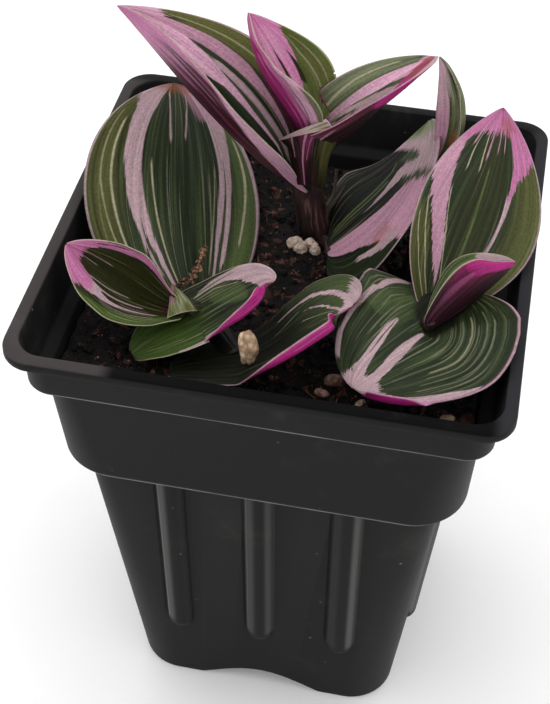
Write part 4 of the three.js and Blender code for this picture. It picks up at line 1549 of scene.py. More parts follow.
# The young upright leaf in the middle
TOP_CENTRE = Leaf(
    "top_centre", midrib=((-2.5, 14.5, 140), (-7, 16, 145.5), (-15.5, 21, 155), (-15.5, 21, 166.5)),
    faces=((0.9, -0.25, 0.4), (0.75, -0.5, 0.45)), half=14.5, broad=0.44, full=0.74, neck=0.3, left=(65, 47, 33, 18),
    right=(24, 16, 31, 20), behind=(TOP_RIGHT,),
    upper=BladePaint(Ink.OLIVE, Ink.LIME, Ink.CREAM, (
        band(Ink.ROSE, (26, 40, 42), (40, 34, 50), (55, 24, 58), (65, 12, 64), (75, 0, 72), (84, -30, 84),
             (90, -80, 120), (100, -120, 120)),
        band(Ink.BLUSH, (68, 20, 50), (80, 20, 60), share=0.5, soft=20, ease=6),
        band(Ink.BRONZE, (35, 32, 37), (60, 33, 37), (70, 34, 35.5)),
        band(Ink.BRONZE, (40, 49, 56), (55, 52, 57.5), (66, 54.5, 56)),
        band(Ink.ROSE, (40, -50, -40), (65, -60, -30), (84, -90, 0), (100, -120, 100), share=0.9),
        thin(Ink.CREAM, 2.5, (10, 74), (60, 70), (80, 76), share=0.5),
        thin(Ink.CREAM, 2, (10, 86), (75, 84), share=0.45),
        band(Ink.LIME, (0, 50, 120), (30, 60, 120), share=0.5, soft=40),
    )),
    under=BladePaint(Ink.PLUM, Ink.MAGENTA, Ink.CREAM, (
        band(Ink.FUCHSIA, (30, -62, 10), (60, -90, 10), (90, -120, 40), share=0.8, soft=20, ease=15),
        band(Ink.WINE, (0, -30, 0), (40, -24, 0), (70, -8, 0), share=0.85, soft=16),
        band(Ink.BLUSH, (0, -100, -66), (30, -100, -66), (50, -110, -78), (70, -110, -90), share=0.9, soft=6),
        band(Ink.ORCHID, (10, -60, -50), (40, -72, -58), (65, -90, -70), (90, -120, -80), share=0.8),
        band(Ink.ORCHID, (10, -42, -38), (45, -50, -45), (75, -60, -50), share=0.6),
        band(Ink.ORCHID, (86, -120, -30), (100, -120, 120), share=0.7, soft=30),
        band(Ink.LIME, (0, -120, -86), (30, -120, -88), (46, -120, -97), share=0.85, soft=6),
        thin(Ink.WINE, 3, (10, -66), (40, -76), (60, -88), share=0.6),
        band(Ink.PINK, (10, 40, 50), (60, 30, 60), (100, -50, 120), share=0.6, soft=6),
    ), gloss=0.38))
# The creased leaf in the middle right, with painted shade on the half that faces away
MIDDLE_RIGHT = Leaf(
    "middle_right", midrib=((5.5, 10.5, 113.5), (11.5, 10, 118.5), (24.5, 14, 132), (24, 34, 136)),
    faces=((0.35, -0.35, 0.85), (-0.5, 0.2, 0.85)), half=17.5, broad=0.44, full=0.69, neck=0.2,
    left=(-21, -12, 7, 12), right=(22, 33, 3, 4),
    # Its very dark ground is painted shade, with the lit half's stripes laid over it.
    upper=BladePaint(Ink.NIGHT, Ink.NIGHT, Ink.PALE, (
        band(Ink.DEEP, (0, 30, 120), (45, 50, 120), share=0.9, soft=20),
        *veins(Ink.MOSS, (42, 56, 70, 84), 2, 40),
        *veins(Ink.LEAF, (-86, -62, -22), 4, 74),
        thin(Ink.MOSS, 3, (10, -33), (40, -36), (70, -41), (76, -48)),
        thin(Ink.MOSS, 2.5, (5, -28), (40, -30), (62, -32)),
        band(Ink.PALE, (40, -19, -18), (50, -22, -17), (60, -26, -16), (68, -29, -10), (72, -30, 120), (78, -24, 120),
             (84, 0, 120), (88, -120, 120), (94, -120, 120)),
        band(Ink.PINK, (0, -7, 24), (10, -6, 27), (20, -5, 30), (30, -4, 38), (38, -3, 52), (45, -1, 80),
             (50, 0, 120), (60, 3, 120), (66, 14, 120), (69, 50, 120)),
        band(Ink.LEAF, (67, -12, 10), (69.5, -10, 90), (71, 20, 95)),
        band(Ink.LEAF, (79, -50, 0), (82, -46, 12), (84.5, -40, -20)),
        band(Ink.PALE, (26, 50, 60), (36, 58, 72), (46, 62, 85)),
        band(Ink.DEEP, (30, 72, 120), (42, 86, 120)),
        band(Ink.RUST, (38, 36, 62), (46, 36, 60), share=0.4, soft=25),
        band(Ink.GREY_GREEN, (93, -120, 120), (100, -120, 120), share=0.9),
        band(Ink.MOSS, (95, -100, -20), (100, -100, -20), share=0.8, soft=30),
    )),
    under=BladePaint(Ink.WINE, Ink.PLUM, Ink.PINK, (
        band(Ink.MAGENTA, (20, 80, 120), (70, 80, 120), share=0.5, soft=20),
        band(Ink.PINK, (10, 0, 27), (40, 0, 50), (70, 0, 120), (100, -120, 120), share=0.6),
    )))
# The young leaf behind, seen on its edge
BACK_NARROW = Leaf(
    "back_narrow", midrib=((27.5, 20, 133.5), (35, 22, 141.5), (32, 23.5, 154.5), (25, 25, 159)),
    faces=((-0.85, -0.4, 0.3), (-0.8, -0.35, 0.45)), half=6, broad=0.47, full=0.76, neck=0.3, left=(49, 48, 20, 8),
    right=(36, 38, 9, 1), slim=0.28, behind=(MIDDLE_RIGHT,), rows=80, columns=20,
    upper=BladePaint(Ink.LEAF, Ink.GREY_GREEN, Ink.CREAM, (
        band(Ink.PINK, (0, -120, -44), (30, -120, -50), (60, -120, -52), (80, -120, -60), (100, -120, 0)),
        band(Ink.PALE, (55, -120, -60), (100, -120, 0), share=0.6, soft=20),
        band(Ink.OLIVE, (10, -46, -28), (55, -42, -30), share=0.6, soft=10),
        band(Ink.RUST, (20, -36, -10), (30, -34, -12), share=0.8, soft=10),
        band(Ink.GREY_GREEN, (20, 50, 120), (90, 40, 120), share=0.6, soft=10),
    )),
    under=BladePaint(Ink.PLUM, Ink.PINK, Ink.CREAM, (
        band(Ink.MOSS, (0, 10, 120), (90, 10, 120), share=0.8, soft=10),
        band(Ink.PINK, (0, -120, -40), (100, -120, 0), share=0.7, soft=10),
    )))
# The large leaf at the right with a fringed tip
BACK_RIGHT = Leaf(
    "back_right", midrib=((31.8, -16.5, 120.5), (31.5, -4, 126), (39.5, 9, 135.5), (40, 30.5, 144.5)),
    faces=((0.15, -0.8, 0.55), (0.3, -0.55, 0.75)), half=15.5, broad=0.51, full=0.84, neck=0.15,
    left=(23, 15, 30, 21), right=(17, 6, 26, 15),
    upper=BladePaint(Ink.DEEP, Ink.LEAF, Ink.PALE, (
        band(Ink.OLIVE, (20, 55, 120), (90, 60, 120), share=0.5, soft=30),
        band(Ink.BRONZE, (30, -10, 40), (80, -30, 40), share=0.5, soft=30, ease=15),
        band(Ink.OLIVE, (0, -120, -30), (45, -120, -60), share=0.5, soft=10),
        band(Ink.PINK, (22, -22, -16), (30, -36, -18), (38, -50, -23), (45, -63, -31), (52, -78, -41),
             (60, -100, -52), (70, -120, -66), (80, -120, -80), (86, -120, -86)),
        band(Ink.BRONZE, (30, -44, -39), (42, -62, -56), (50, -76, -72)),
        thin(Ink.CREAM, 3, (12, -40), (30, -56), (42, -71), (50, -82)),
        thin(Ink.CREAM, 3, (12, -58), (30, -75), (42, -90)),
        thin(Ink.CREAM, 2, (25, -10), (45, -28.5), (60, -48)),
        band(Ink.PALE, (25, 34, 38), (45, 39, 44), (55, 41, 46), (65, 43, 50), (72, 47, 57), (78, 51, 68)),
        band(Ink.ORCHID, (68, 45, 53), (74, 48, 60), (79, 51, 78), (84, 50, 120), (90, 49, 120), (100, 0, 120)),
        band(Ink.ORCHID, (80, -120, -88), (86, -120, -70), (90, -120, -10), (91.5, -120, 60), (100, -120, 120),
             soft=4),
        thin(Ink.PINK, 5, (82, -60), (92, -66)),
        thin(Ink.CREAM, 3, (72, -42), (80, -50), (88, -56)),
        thin(Ink.CREAM, 3, (74, -17), (82, -24), (90, -34)),
        thin(Ink.PINK, 5, (80, -12), (92, -17)),
        thin(Ink.PINK, 3, (84, 12), (92, 13)),
        thin(Ink.PINK, 3, (85, 28), (92, 30)),
        thin(Ink.MOSS, 3, (30, 12), (55, 7), (75, 3), share=0.6),
        band(Ink.RUST, (92.5, 10, 80), (95, 0, 70), share=0.6, soft=20),
    )),
    under=BladePaint(Ink.WINE, Ink.PLUM, Ink.PINK, (
        band(Ink.PINK, (22, -22, -16), (45, -63, -31), (60, -100, -52), (86, -120, -86), share=0.7),
        band(Ink.MAGENTA, (88, -120, 120), (100, -120, 120), share=0.9),
    )))
# The young leaf folded up on the right, its outside showing
RIGHT_YOUNG = Leaf(
    "right_young", midrib=((32, -22.5, 124.5), (39.5, -18.5, 129.5), (45, -11.5, 131.5), (47, -11.5, 136.5)),
    faces=((-0.45, 0.25, 0.85), (-0.45, 0.1, 0.9)), half=10, broad=0.49, full=0.83, neck=0.27, left=(28, 32, 9, 11),
    right=(66, 68, 18, 9), rows=90, columns=30,
    upper=BladePaint(Ink.LEAF, Ink.MOSS, Ink.CREAM, (
        band(Ink.PALE, (70, -95, -50), (100, -120, 120), share=0.9, soft=10),
        band(Ink.PINK, (10, 30, 50), (80, 30, 70), share=0.8),
    )),
    under=BladePaint(Ink.WINE, Ink.PLUM, Ink.CREAM, (
        band(Ink.MAGENTA, (20, 62, 80), (35, 58, 90), (45, 54, 120), (60, 48, 120), share=0.7, soft=12),
        band(Ink.FUCHSIA, (50, 60, 120), (60, 50, 120), (70, 42, 120), (80, 32, 120), (88, 20, 120), (94, -40, 120),
             (100, -120, 120), share=0.95, soft=12),
        band(Ink.ORCHID, (5, 60, 80), (30, 60, 78), (50, 60, 72), share=0.45, soft=6),
        band(Ink.PLUM, (30, 43, 50), (50, 42, 47), (64, 38, 41), share=0.7, soft=4),
        band(Ink.PLUM, (30, 78, 84), (50, 72, 77), (62, 70, 73), share=0.6, soft=4),
        band(Ink.NIGHT, (0, -40, 30), (60, -40, 24), (85, -40, 0), share=0.7, soft=20),
        band(Ink.WINE, (0, -120, 120), (12, -120, 120), share=0.8, soft=20, ease=25),
    ), gloss=0.38))
# The heart-shaped leaf at the front right
FRONT_RIGHT = Leaf(
    "front_right", midrib=((32, -24, 124), (32, -25, 124), (22.5, -33.5, 124), (19, -38.5, 120.5)),
    faces=((-0.15, -0.3, 0.95), (-0.15, -0.15, 1)), half=20, broad=0.47, full=0.53, neck=0, back=0.62,
    left=(16, 6, 3, -7), right=(15, 3, -3, -13),
    curls=(Curl(side=-1, height=2.2, start=0.62, end=1.1, turn=115, rise=0.2),), hold=0.15,
    upper=BladePaint(Ink.DEEP, Ink.LEAF, Ink.PALE, (
        band(Ink.MOSS, (-50, 20, 75), (0, 30, 70), (40, 50, 80), share=0.3, soft=30),
        band(Ink.PALE, (10, 5, 7.5), (20, 4, 9), (30, 2, 9), (40, -1, 9), (50, -6, 8), (60, -11, 5), (70, -17, 0),
             (80, -25, -3), (87, -38, 0)),
        band(Ink.PALE, (28, 34, 37), (40, 31, 39), (50, 27, 37), (60, 23, 35), (70, 18, 33), (78, 13, 34),
             (86, 3, 42)),
        band(Ink.LEAF, (28, 35.2, 36.2), (50, 31, 33), (66, 27, 28.5)),
        band(Ink.PALE, (84, -40, 0), (88, -60, 40), (93, -120, 60), (100, -120, 120)),
        band(Ink.PALE, (30, -97, -94), (50, -98, -88), (65, -100, -84), (80, -120, -80), (88, -120, -60), share=0.9),
        band(Ink.ORCHID, (-50, -120, -97.5), (50, -120, -97.5), (100, -120, -92), share=0.8, soft=3),
        *veins(Ink.GREY_GREEN, (-88, -76, -58, -40, -28, -12), -10, 80),
        *veins(Ink.CREAM, (-66, -50), -20, 60),
        *veins(Ink.GREY_GREEN, (20, 44, 60, 90), -25, 60),
        # Painted shade in the dark cleft between the lobes at the base.
        band(Ink.NIGHT, (-62, -60, 60), (-35, -50, 50), (-12, -34, 34), (2, -10, 10), share=0.92, soft=20),
        band(Ink.PALE, (-35, 84, 95), (0, 73, 80), (10, 72, 79), (30, 76, 84), (50, 82, 89), (70, 86, 93),
             (86, 80, 120), share=0.9),
    ), painted_glint=0.9),
    under=BladePaint(Ink.PLUM, Ink.MAGENTA, Ink.PINK, (
        band(Ink.FUCHSIA, (20, -150, -90), (100, -150, -60), share=0.9, soft=10),
        band(Ink.WINE, (-60, -85, 85), (80, -80, 80), share=0.7, soft=20),
    ), gloss=0.36))
# The dark leaf at the front, its lower margin turned up
FRONT_CENTRE = Leaf(
    "front_centre", midrib=((-6, -31.5, 116), (4, -29, 117.5), (11, -17, 126.5), (15.5, -21.5, 127)),
    faces=((-0.85, -0.15, 0.45), (-0.45, -0.05, 0.9)), half=12, broad=0.52, full=0.4, neck=0, back=0.46,
    left=(-3, 7, 4, 8), right=(13, 11, 4, 3),
    curls=(Curl(side=1, height=2.6, start=-0.35, end=1.05, turn=80, rise=0.9),), rows=100, columns=30,
    upper=BladePaint(Ink.NIGHT, Ink.DEEP, Ink.PALE, (
        band(Ink.MOSS, (75, -120, 70), (90, -120, 90), share=0.45, soft=40, ease=22),
        # Painted shade over the lobes and the base.
        band(Ink.NIGHT, (-50, -120, 120), (30, -120, 120), share=0.75, soft=30, ease=30),
        *veins(Ink.MOSS, (-86, -60, -30, 0, 24, 50, 72), 45, 80),
        band(Ink.PALE, (35, -71, -69), (55, -72, -68), (65, -69, -61), (72, -62, -48), (80, -50, -30), (88, -36, -5),
             (93, -50, 30), (100, -120, 120)),
        band(Ink.PALE, (56, -42, -40), (66, -25, -19), (74, -3, 6), (80, 12, 23), (86, 22, 36), (93, 20, 60)),
        thin(Ink.CREAM, 2, (50, -20), (65, 0), (75, 20), share=0.5),
        thin(Ink.CREAM, 2, (50, 10), (65, 30), (72, 45), share=0.4),
        thin(Ink.CREAM, 1.5, (30, -40), (50, -50), share=0.4),
        band(Ink.PALE, (90, -120, 120), (100, -120, 120), share=0.8),
    ), gloss=0.4),
    under=BladePaint(Ink.PLUM, Ink.MAGENTA, Ink.PALE, (
        band(Ink.FUCHSIA, (30, 90, 150), (100, 80, 150), share=0.95, soft=10, ease=30),
        *veins(Ink.ORCHID, (104, 112, 120, 128), 30, 98),
        band(Ink.WINE, (-50, -100, 80), (90, -100, 70), share=0.8, soft=20),
    ), gloss=0.36))
# The boat-shaped leaf at the left
LEFT_BOAT = Leaf(
    "left_boat", midrib=((-20, -20.5, 117.5), (-28.5, -19.5, 115.5), (-37.5, -20, 123), (-46.5, -18, 129.5)),
    faces=((0.1, -0.4, 0.9), (0.15, -0.35, 0.9)), half=11, broad=0.55, full=0.72, neck=0.3, left=(28, 12, 28, 14),
    right=(56, 37, 44, 28), rows=100, columns=30,
    upper=BladePaint(Ink.BRONZE, Ink.DEEP, Ink.CREAM, (
        band(Ink.LIME, (0, -100, -58), (40, -98, -66), (60, -98, -76), (76, -100, -90), share=0.85, soft=5),
        *veins(Ink.CREAM, (-92, -85, -78, -70), 5, 70),
        *veins(Ink.PALE, (-72, -66, -45), 20, 78),
        band(Ink.PLUM, (6, -40, 20), (14, -30, 10), share=0.8, soft=20, ease=5),
        band(Ink.PALE, (25, -53, -49), (50, -56, -50), (60, -60, -50), (70, -66, -36), (78, -74, -30)),
        thin(Ink.PALE, 4, (36, -33), (60, -38), (72, -38)),
        thin(Ink.PALE, 2.5, (48, -18), (62, -24), (76, -29)),
        band(Ink.ORCHID, (74, -70, -34), (80, -80, -28), (87, -120, -20), (89, -120, 20), (90, -120, 120),
             (100, -120, 120)),
        band(Ink.ORCHID, (10, 90, 100), (30, 86, 98), (50, 82, 97), (70, 76, 95), (82, 70, 95), (92, 50, 120)),
        band(Ink.BRONZE, (70, 88, 92), (85, 80, 84)),
        thin(Ink.PINK, 2, (70, 30), (88, 34), share=0.6),
        thin(Ink.PINK, 2, (78, 10), (90, 10), share=0.6),
    )),
    under=BladePaint(Ink.BRONZE, Ink.MOSS, Ink.CREAM, (
        band(Ink.PLUM, (10, -40, 120), (90, -40, 120), share=0.7, soft=30),
        band(Ink.ORCHID, (85, -120, 120), (100, -120, 120), share=0.8, soft=10),
        band(Ink.MAGENTA, (30, 80, 120), (90, 70, 120), share=0.6, soft=10),
    )))
# The broad leaf at the front left, its front margin turned up
FRONT_LEFT = Leaf(
    "front_left", midrib=((-17, -23, 116.5), (-13.5, -20.5, 117.5), (-2, -17.5, 128), (-2, -19, 128)),
    faces=((-0.05, 0.25, 0.95), (-0.1, -0.1, 1)), half=10, broad=0.44, full=0.6, neck=0, back=0.72,
    left=(13, 24, 21, 16), right=(7, 8, 4, -6),
    curls=(Curl(side=1, height=2.8, start=-0.3, end=1.05, turn=80, rise=1.2),), rows=100, columns=30,
    upper=BladePaint(Ink.NIGHT, Ink.LEAF, Ink.CREAM, (
        band(Ink.PALE, (10, -70, -67), (20, -82, -72), (30, -88, -74), (40, -92, -72), (50, -95, -62),
             (60, -100, -42), (68, -120, -20), (74, -120, 20), (80, -120, 120), (100, -120, 120)),
        band(Ink.MOSS, (15, -77, -74), (35, -83, -80), (50, -86, -84)),
        band(Ink.LIME, (-72, -120, 120), (-20, -80, 120), share=0.7, soft=30, ease=25),
        band(Ink.MOSS, (25, -70, -30), (55, -50, 20), share=0.4, soft=30),
        *veins(Ink.MOSS, (-50, -30, -10, 10, 30, 50, 70), -10, 60),
        thin(Ink.CREAM, 2, (10, -60), (30, -66), (50, -54), share=0.6),
        thin(Ink.CREAM, 2, (-50, 50), (-20, 55), (10, 50), share=0.6),
        thin(Ink.CREAM, 2, (-55, 30), (-40, 40), (-20, 42), share=0.5),
        band(Ink.PALE, (-30, 93, 120), (0, 90, 120), (60, 86, 120), (80, 70, 120), share=0.8, soft=5),
    )),
    under=BladePaint(Ink.PLUM, Ink.MAGENTA, Ink.PALE, (
        band(Ink.FUCHSIA, (10, 90, 160), (100, 80, 160), share=0.95, soft=10, ease=30),
        *veins(Ink.ORCHID, (104, 112, 120, 128), 0, 98),
        band(Ink.WINE, (-60, -100, 80), (90, -100, 70), share=0.7, soft=20),
    ), gloss=0.36))
LEAVES = (BACK_LEFT, TOP_LEFT, TOP_CENTRE, TOP_RIGHT, BACK_NARROW, MIDDLE_RIGHT, BACK_RIGHT, RIGHT_YOUNG, FRONT_RIGHT,
          FRONT_CENTRE, LEFT_BOAT, FRONT_LEFT)


# Shoots

@dataclass(frozen=True)
class ShootSkin:
    """Purple-brown stem skin with pale lengthwise lines."""
    dark: Colour = (24, 16, 16)
    mid: Colour = (58, 38, 37)
    pale: Colour = (128, 90, 92)
    green: Colour = (64, 62, 36)

    def material(self, name: str) -> bpy.types.Material:
        """Builds the finish."""
        graph = Graph(name)
        around, along = graph.chart("stalk")
        line = graph.streaks(around * 34, along * 9, seed=0.3, detail=3, rough=0.6)
        broad = graph.streaks(around * 9, along * 12, seed=4.3, detail=2)
        colour = graph.blend(broad.smooth(0.35, 0.65), linear(self.dark), linear(self.mid))
        colour = graph.blend(line.smooth(0.56, 0.68) * 0.75, colour, linear(self.pale))
        mould = graph.noise(graph.solid(), scale=160, detail=2).smooth(0.55, 0.7) * 0.5
        colour = graph.blend(mould, colour, linear(self.green))
        return graph.finish(line, depth=0.0003, strength=0.7, Base_Color=colour, Roughness=0.4 + line * 0.2,
                            Specular_IOR_Level=0.45)


@dataclass(frozen=True)
class Stalk:
    """One stretch of stem: the points it runs through and its radii."""
    points: tuple[Point, ...]
    radii: tuple[float, ...]
    ridges: float = 0.05


@dataclass(frozen=True)
class Shoot:
    """A stem with its side parts, in place of its solid."""
    name: str
    stalks: tuple[Stalk, ...]
    finish: ShootSkin = ShootSkin()
    sides: int = 56
    steps: int = 60

    def build(self) -> None:
        """Makes the shoot."""
        skins = []
        for number, stalk in enumerate(self.stalks):
            spine, radii = threaded(stalk.points, stalk.radii, self.steps)
            skins.append(tube(spine, radii, self.sides, stalk.ridges, number + 3))
        item = join(skins).mesh(self.name.replace("stem_", "shoot_"), [self.finish.material(f"{self.name}_skin")])
        dress(item, "stem", self.name)


SHOOTS = (
    Shoot("stem_centre", (
        Stalk(((1.5, 19, 106), (1, 18.7, 112), (0, 17.5, 120), (-1, 16, 130), (-2.5, 15.2, 139)),
              (3.8, 3.8, 3.5, 3.2, 2.4)),
        Stalk(((1, 18, 110), (4.8, 14.6, 112.4), (6.4, 9.8, 113.2)), (1.6, 1.6, 1.2)),
        Stalk(((3, 18.5, 119), (4.6, 21.5, 121), (4.4, 26, 125)), (0.55, 0.4, 0.3), ridges=0.1),
        Stalk(((3, 18, 117), (5.4, 22, 119.5), (7.2, 26, 121.5)), (0.55, 0.4, 0.3), ridges=0.1),
    )),
    Shoot("stem_left", (
        Stalk(((-18, -15, 106), (-18.5, -16.5, 112), (-18.8, -18.6, 116.4), (-19.4, -20.4, 118.6)),
              (2.9, 2.9, 2.4, 1.2)),
    ), ShootSkin((24, 26, 14), (52, 54, 32), (98, 94, 66), (40, 46, 24))),
    Shoot("stem_right", (
        Stalk(((33.5, -13, 106), (33, -15, 113), (32, -18.5, 119.5), (31.5, -22, 127)), (2.8, 2.7, 2.3, 1.3)),
    )),
    Shoot("stem_back", (
        Stalk(((24, 6, 106), (25, 10, 116), (27, 16, 126), (28, 20.5, 136)), (2, 1.9, 1.8, 1.4)),
    )),
    # The front shoot's skin is a very dark copy of the stem skin: painted shade under the front leaves.
    Shoot("stem_front", (
        Stalk(((-14, -19, 108), (-12, -22.5, 112.5), (-7.5, -28.5, 114.5)), (3, 3.3, 1.8)),
    ), ShootSkin((8, 7, 6), (18, 15, 12), (34, 30, 24), (16, 18, 10))),
)


@dataclass(frozen=True)
class Sheath:
    """The foot of a leaf, wrapped round its stem: a thin skin between a left and a right edge."""
    name: str
    left: tuple[Point, ...]
    right: tuple[Point, ...]
    bulge: tuple[float, ...]
    toward: Point
    half: float
    paint: BladePaint
    rows: int = 60
    columns: int = 48
    thick: float = 0.5
    pleats: float = 55
    pleat: float = 0.06

    def skin(self) -> Skin:
        """The closed skin, charted like a blade from its first points to its last."""
        left, depth = threaded(self.left, self.bulge, self.rows)
        right, _ = threaded(self.right, self.bulge, self.rows)
        share = np.linspace(0, 1, self.columns)
        far = np.linspace(0, 1, self.rows)[:, None] * np.ones(self.columns)
        swell = depth[:, None] * np.sin(math.pi * share) ** 0.8
        sheet = left[:, None] + (right - left)[:, None] * share[:, None] + swell[..., None] * np.array(self.toward)
        normal = unit(np.cross(np.gradient(sheet, axis=0), np.gradient(sheet, axis=1)))
        sheet = sheet + normal * (self.pleat * np.cos(share * self.pleats) * np.ones_like(far))[..., None]
        u = (share * 2 - 1) * np.ones_like(far)
        edge = np.maximum(np.abs(u), far)
        half = normal * (self.thick / 2 * np.sqrt(np.maximum(1 - edge ** 14, 0.02)))[..., None]
        skin = loft(np.concatenate([(sheet + half)[:, ::-1], sheet - half], axis=1))
        for name, values in (("blade", (across_chart(u), along_chart(far))), ("rim", (edge, far))):
            chart = np.stack(values, -1)
            skin.charts[name] = np.concatenate([chart[:, ::-1], chart], axis=1).reshape(-1, 2)
        return skin

    def build(self) -> None:
        """Makes the sheath."""
        dress(self.skin().mesh(self.name, [self.paint.material(f"{self.name}_face", self.half)]), "leaf")


SHEATHS = (
    Sheath(
        "sheath_left", left=((-23.8, -18.4, 122.4), (-23.5, -21.1, 120.2), (-23.3, -24.4, 118.4)),
        right=((-23.4, -18.2, 122.6), (-20.1, -20, 121.6), (-17.3, -21.7, 119.4)), bulge=(0, 0.8, 1.6),
        toward=(0.1, -0.5, 0.85), half=4,
        paint=BladePaint(Ink.OLIVE, Ink.GREY_GREEN, Ink.CREAM, (
            band(Ink.ORCHID, (0, -120, 60), (30, -120, -30), share=0.8, soft=30, ease=20),
            *veins(Ink.CREAM, (-70, -40, -10, 20, 50), 10, 95),
            *veins(Ink.BRONZE, (-55, -25, 5, 35, 70), 10, 95),
        ))),
    Sheath(
        "sheath_centre", left=((-6, 9.4, 143.5), (-4, 9.5, 141.1), (-2.8, 9.3, 137.1), (-2, 10.6, 131.1)),
        right=((8.3, 16.7, 145.3), (5.8, 14.5, 141.4), (4.2, 13.3, 136.9), (3.8, 12.9, 128.8)),
        bulge=(3.4, 3, 2.4, 1.6), toward=(0.144, -0.699, 0.7), half=7,
        paint=BladePaint(Ink.NIGHT, Ink.BRONZE, Ink.BRONZE, (
            band(Ink.WINE, (0, -120, 20), (50, -120, 0), (100, -120, 40), share=0.7, soft=30),
            band(Ink.FUCHSIA, (0, -50, 10), (25, -44, -10), share=0.35, soft=20, ease=20),
            band(Ink.PLUM, (0, -50, -10), (40, -60, -26), (100, -70, -40), share=0.6, soft=20),
            thin(Ink.PINK, 8, (6, -30), (30, -42), (60, -50), (100, -50), share=0.6),
            thin(Ink.PINK, 5, (3, -70), (30, -80), (50, -84), share=0.5),
            thin(Ink.PINK, 4, (5, -2), (30, -20), (60, -30), share=0.35),
            band(Ink.OLIVE, (0, 30, 120), (30, 20, 120), (70, 40, 120), share=0.4, soft=30, ease=20),
            *veins(Ink.OLIVE, (10, 50, 80), 10, 90),
        ))),
    Sheath(
        "flap_centre", left=((-6.2, 9, 143.7), (-2.7, 9.6, 145.9), (0.6, 10.5, 147.6), (3.3, 12, 148.6)),
        right=((-6.1, 8.9, 143.7), (-2.5, 9.1, 145.4), (1.2, 9.7, 146.5), (5.2, 11.3, 146.8)),
        bulge=(0, 0.2, 0.4, 0.5), toward=(0.144, -0.699, 0.7), half=3,
        paint=BladePaint(Ink.PALE, Ink.CREAM, Ink.BLUSH, (
            band(Ink.MOSS, (62, -10, 10), (80, -30, 0), (100, -40, -10), share=0.8, soft=10),
            band(Ink.MOSS, (75, 40, 50), (100, 30, 60), share=0.7, soft=10),
        ))),
)


# Stones and husks

@dataclass(frozen=True)
class StoneFace:
    """Rough pale mineral, or a dry brown husk."""
    name: str
    light: Colour
    dark: Colour
    pits: float = 900.0

    def material(self) -> bpy.types.Material:
        """Builds the finish."""
        graph = Graph(self.name)
        where = graph.solid()
        patch = graph.noise(where, scale=420, detail=4, rough=0.6)
        pit = graph.cells(where, self.pits)
        share = (patch * 0.8 + (1 - pit) * 0.3).smooth(0.42, 0.75)
        colour = graph.blend(share, linear(self.dark), linear(self.light))
        return graph.finish(pit * 0.5 + patch * 0.5, depth=0.0005, strength=0.8, Base_Color=colour, Roughness=0.75)


@dataclass(frozen=True)
class Grain:
    """One uneven stone: its centre, its sizes and how it is turned, in degrees."""
    centre: Point
    sizes: Point
    turns: Point

    def skin(self, seed: int) -> Skin:
        """The stone's skin.

        Args:
            seed: Which unevenness it gets.

        Returns:
            The closed skin.
        """
        ball = sphere(5)
        rough = 1 + 0.2 * ripple(ball.points * 1.4 + seed * 7, seed) + 0.1 * ripple(ball.points * 3.1, seed + 1)
        shape = ball.points * (rough + 0.025 * ripple(ball.points * 8, seed + 2))[:, None] * np.array(self.sizes)
        turn = np.eye(3)
        for axis, angle in zip("ZYX", reversed(self.turns)):
            turn = np.array(Matrix.Rotation(math.radians(angle), 3, axis)) @ turn
        return Skin(shape @ turn.T + np.array(self.centre), ball.faces)


@dataclass(frozen=True)
class Stones:
    """Some stones of one kind, in place of their solid."""
    name: str
    slot: str
    face: StoneFace
    grains: tuple[Grain, ...]

    def build(self) -> None:
        """Makes the stones."""
        skins = [grain.skin(k + 1) for k, grain in enumerate(self.grains)]
        dress(join(skins).mesh(f"fine_{self.name}", [self.face.material()]), self.slot, self.name)


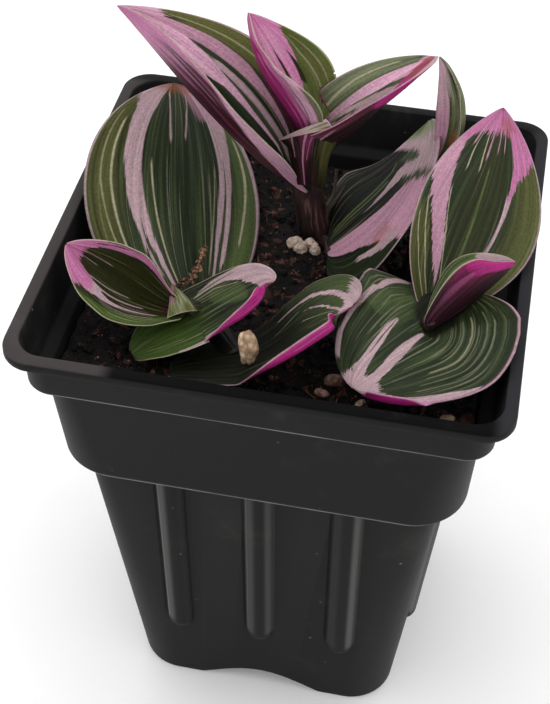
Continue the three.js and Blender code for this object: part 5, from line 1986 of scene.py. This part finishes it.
PERLITE = StoneFace("perlite_white", (226, 212, 198), (172, 148, 134))
TAN = StoneFace("pebble_tan", (214, 190, 158), (150, 118, 92))
BROWN = StoneFace("pebble_brown", (176, 140, 122), (110, 78, 66))
STONES = (
    Stones("perlite_clump", "perlite", PERLITE, (
        Grain((-2.8, 12.4, 112.7), (1.8, 1.4, 1.7), (20, 0, 30)),
        Grain((-0.7, 10.8, 112.8), (1.7, 1.4, 1.8), (0, 30, 70)),
        Grain((1.1, 12.4, 113.4), (1.4, 1.2, 1.7), (40, 10, 0)),
        Grain((2.5, 10.9, 112.6), (1.3, 1.3, 2.1), (15, 10, 10)))),
    Stones("pebble_tall", "pebble", TAN, (Grain((-4, -33.1, 122), (1.9, 1.7, 3.7), (-28, -13, 0)),)),
    Stones("pebble_front", "pebble", BROWN, (Grain((13.5, -29.5, 112.8), (1.9, 1.4, 1.6), (0, 20, 30)),)),
    Stones("pebble_low", "pebble", BROWN, (Grain((11.6, -33.2, 112.4), (1.5, 1, 0.9), (0, 10, 0)),)),
    Stones("pebble_flat", "pebble", TAN, (Grain((20, -34.5, 112.2), (1.2, 0.9, 0.9), (0, 0, 50)),)),
    Stones("pebble_right", "pebble", TAN, (Grain((38, -35, 112.4), (1.5, 1, 0.8), (0, 0, 15)),)),
)


@dataclass
class HuskChain:
    """Dry bud scales that hang in a chain beside the left shoot."""
    places: tuple[Point, ...] = ((-24, -14.2, 118.4), (-22.6, -13.4, 119.2), (-20.6, -12, 119.6),
                                 (-20.5, -9, 119.8), (-20.3, -6.2, 120.3), (-20, -3.4, 121))
    scales: int = 3
    size: float = 0.66
    links: int = 20
    thread: float = 0.3

    def flake(self, centre: Array, draw: np.random.Generator) -> Skin:
        """One thin curled flake.

        Args:
            centre: Where it hangs.
            draw: The source of random numbers.

        Returns:
            The closed flake.
        """
        side = np.linspace(-1, 1, 9)
        a, b = np.meshgrid(side, side)
        round_off = np.sqrt(1 - 0.5 * b ** 2), np.sqrt(1 - 0.5 * a ** 2)
        x, y = a * round_off[0] * self.size * 0.7, b * round_off[1] * self.size
        z = 0.6 * (x ** 2 - 0.2 * y ** 2) / self.size
        sheet = np.stack([x, y, z], -1)
        top, low = sheet + (0, 0, 0.07), sheet - (0, 0, 0.07)
        skin = loft(np.concatenate([top, low[:, ::-1]], axis=1))
        turn = tumble(draw)
        skin.points = skin.points * draw.uniform(0.6, 1.1) @ turn.T + centre + draw.normal(size=3) * 0.35
        return skin

    def build(self) -> None:
        """Makes the chain."""
        draw = np.random.default_rng(5)
        path, _ = threaded(self.places, (1, 1), self.links)
        skins = [self.flake(point, draw) for point in path for _ in range(self.scales)]
        skins.append(tube(path, np.full(self.links, self.thread), 8))
        face = StoneFace("husk_brown", (172, 128, 92), (38, 22, 16), pits=1400)
        dress(join(skins).mesh("husk_chain", [face.material()]), "dry_scale", "dry_scales")


def main() -> None:
    """Builds the scene in order and reports each sub-assembly."""
    logging.basicConfig(level=logging.INFO, format="%(message)s")
    studio = Studio()
    studio.camera()
    studio.light()
    studio.floor()
    log.info("studio set")
    for part in (Pot(), Soil(), *LEAVES, *SHOOTS, *SHEATHS, *STONES, HuskChain()):
        part.build()
    log.info("all pieces made")


if __name__ == "__main__":
    main()
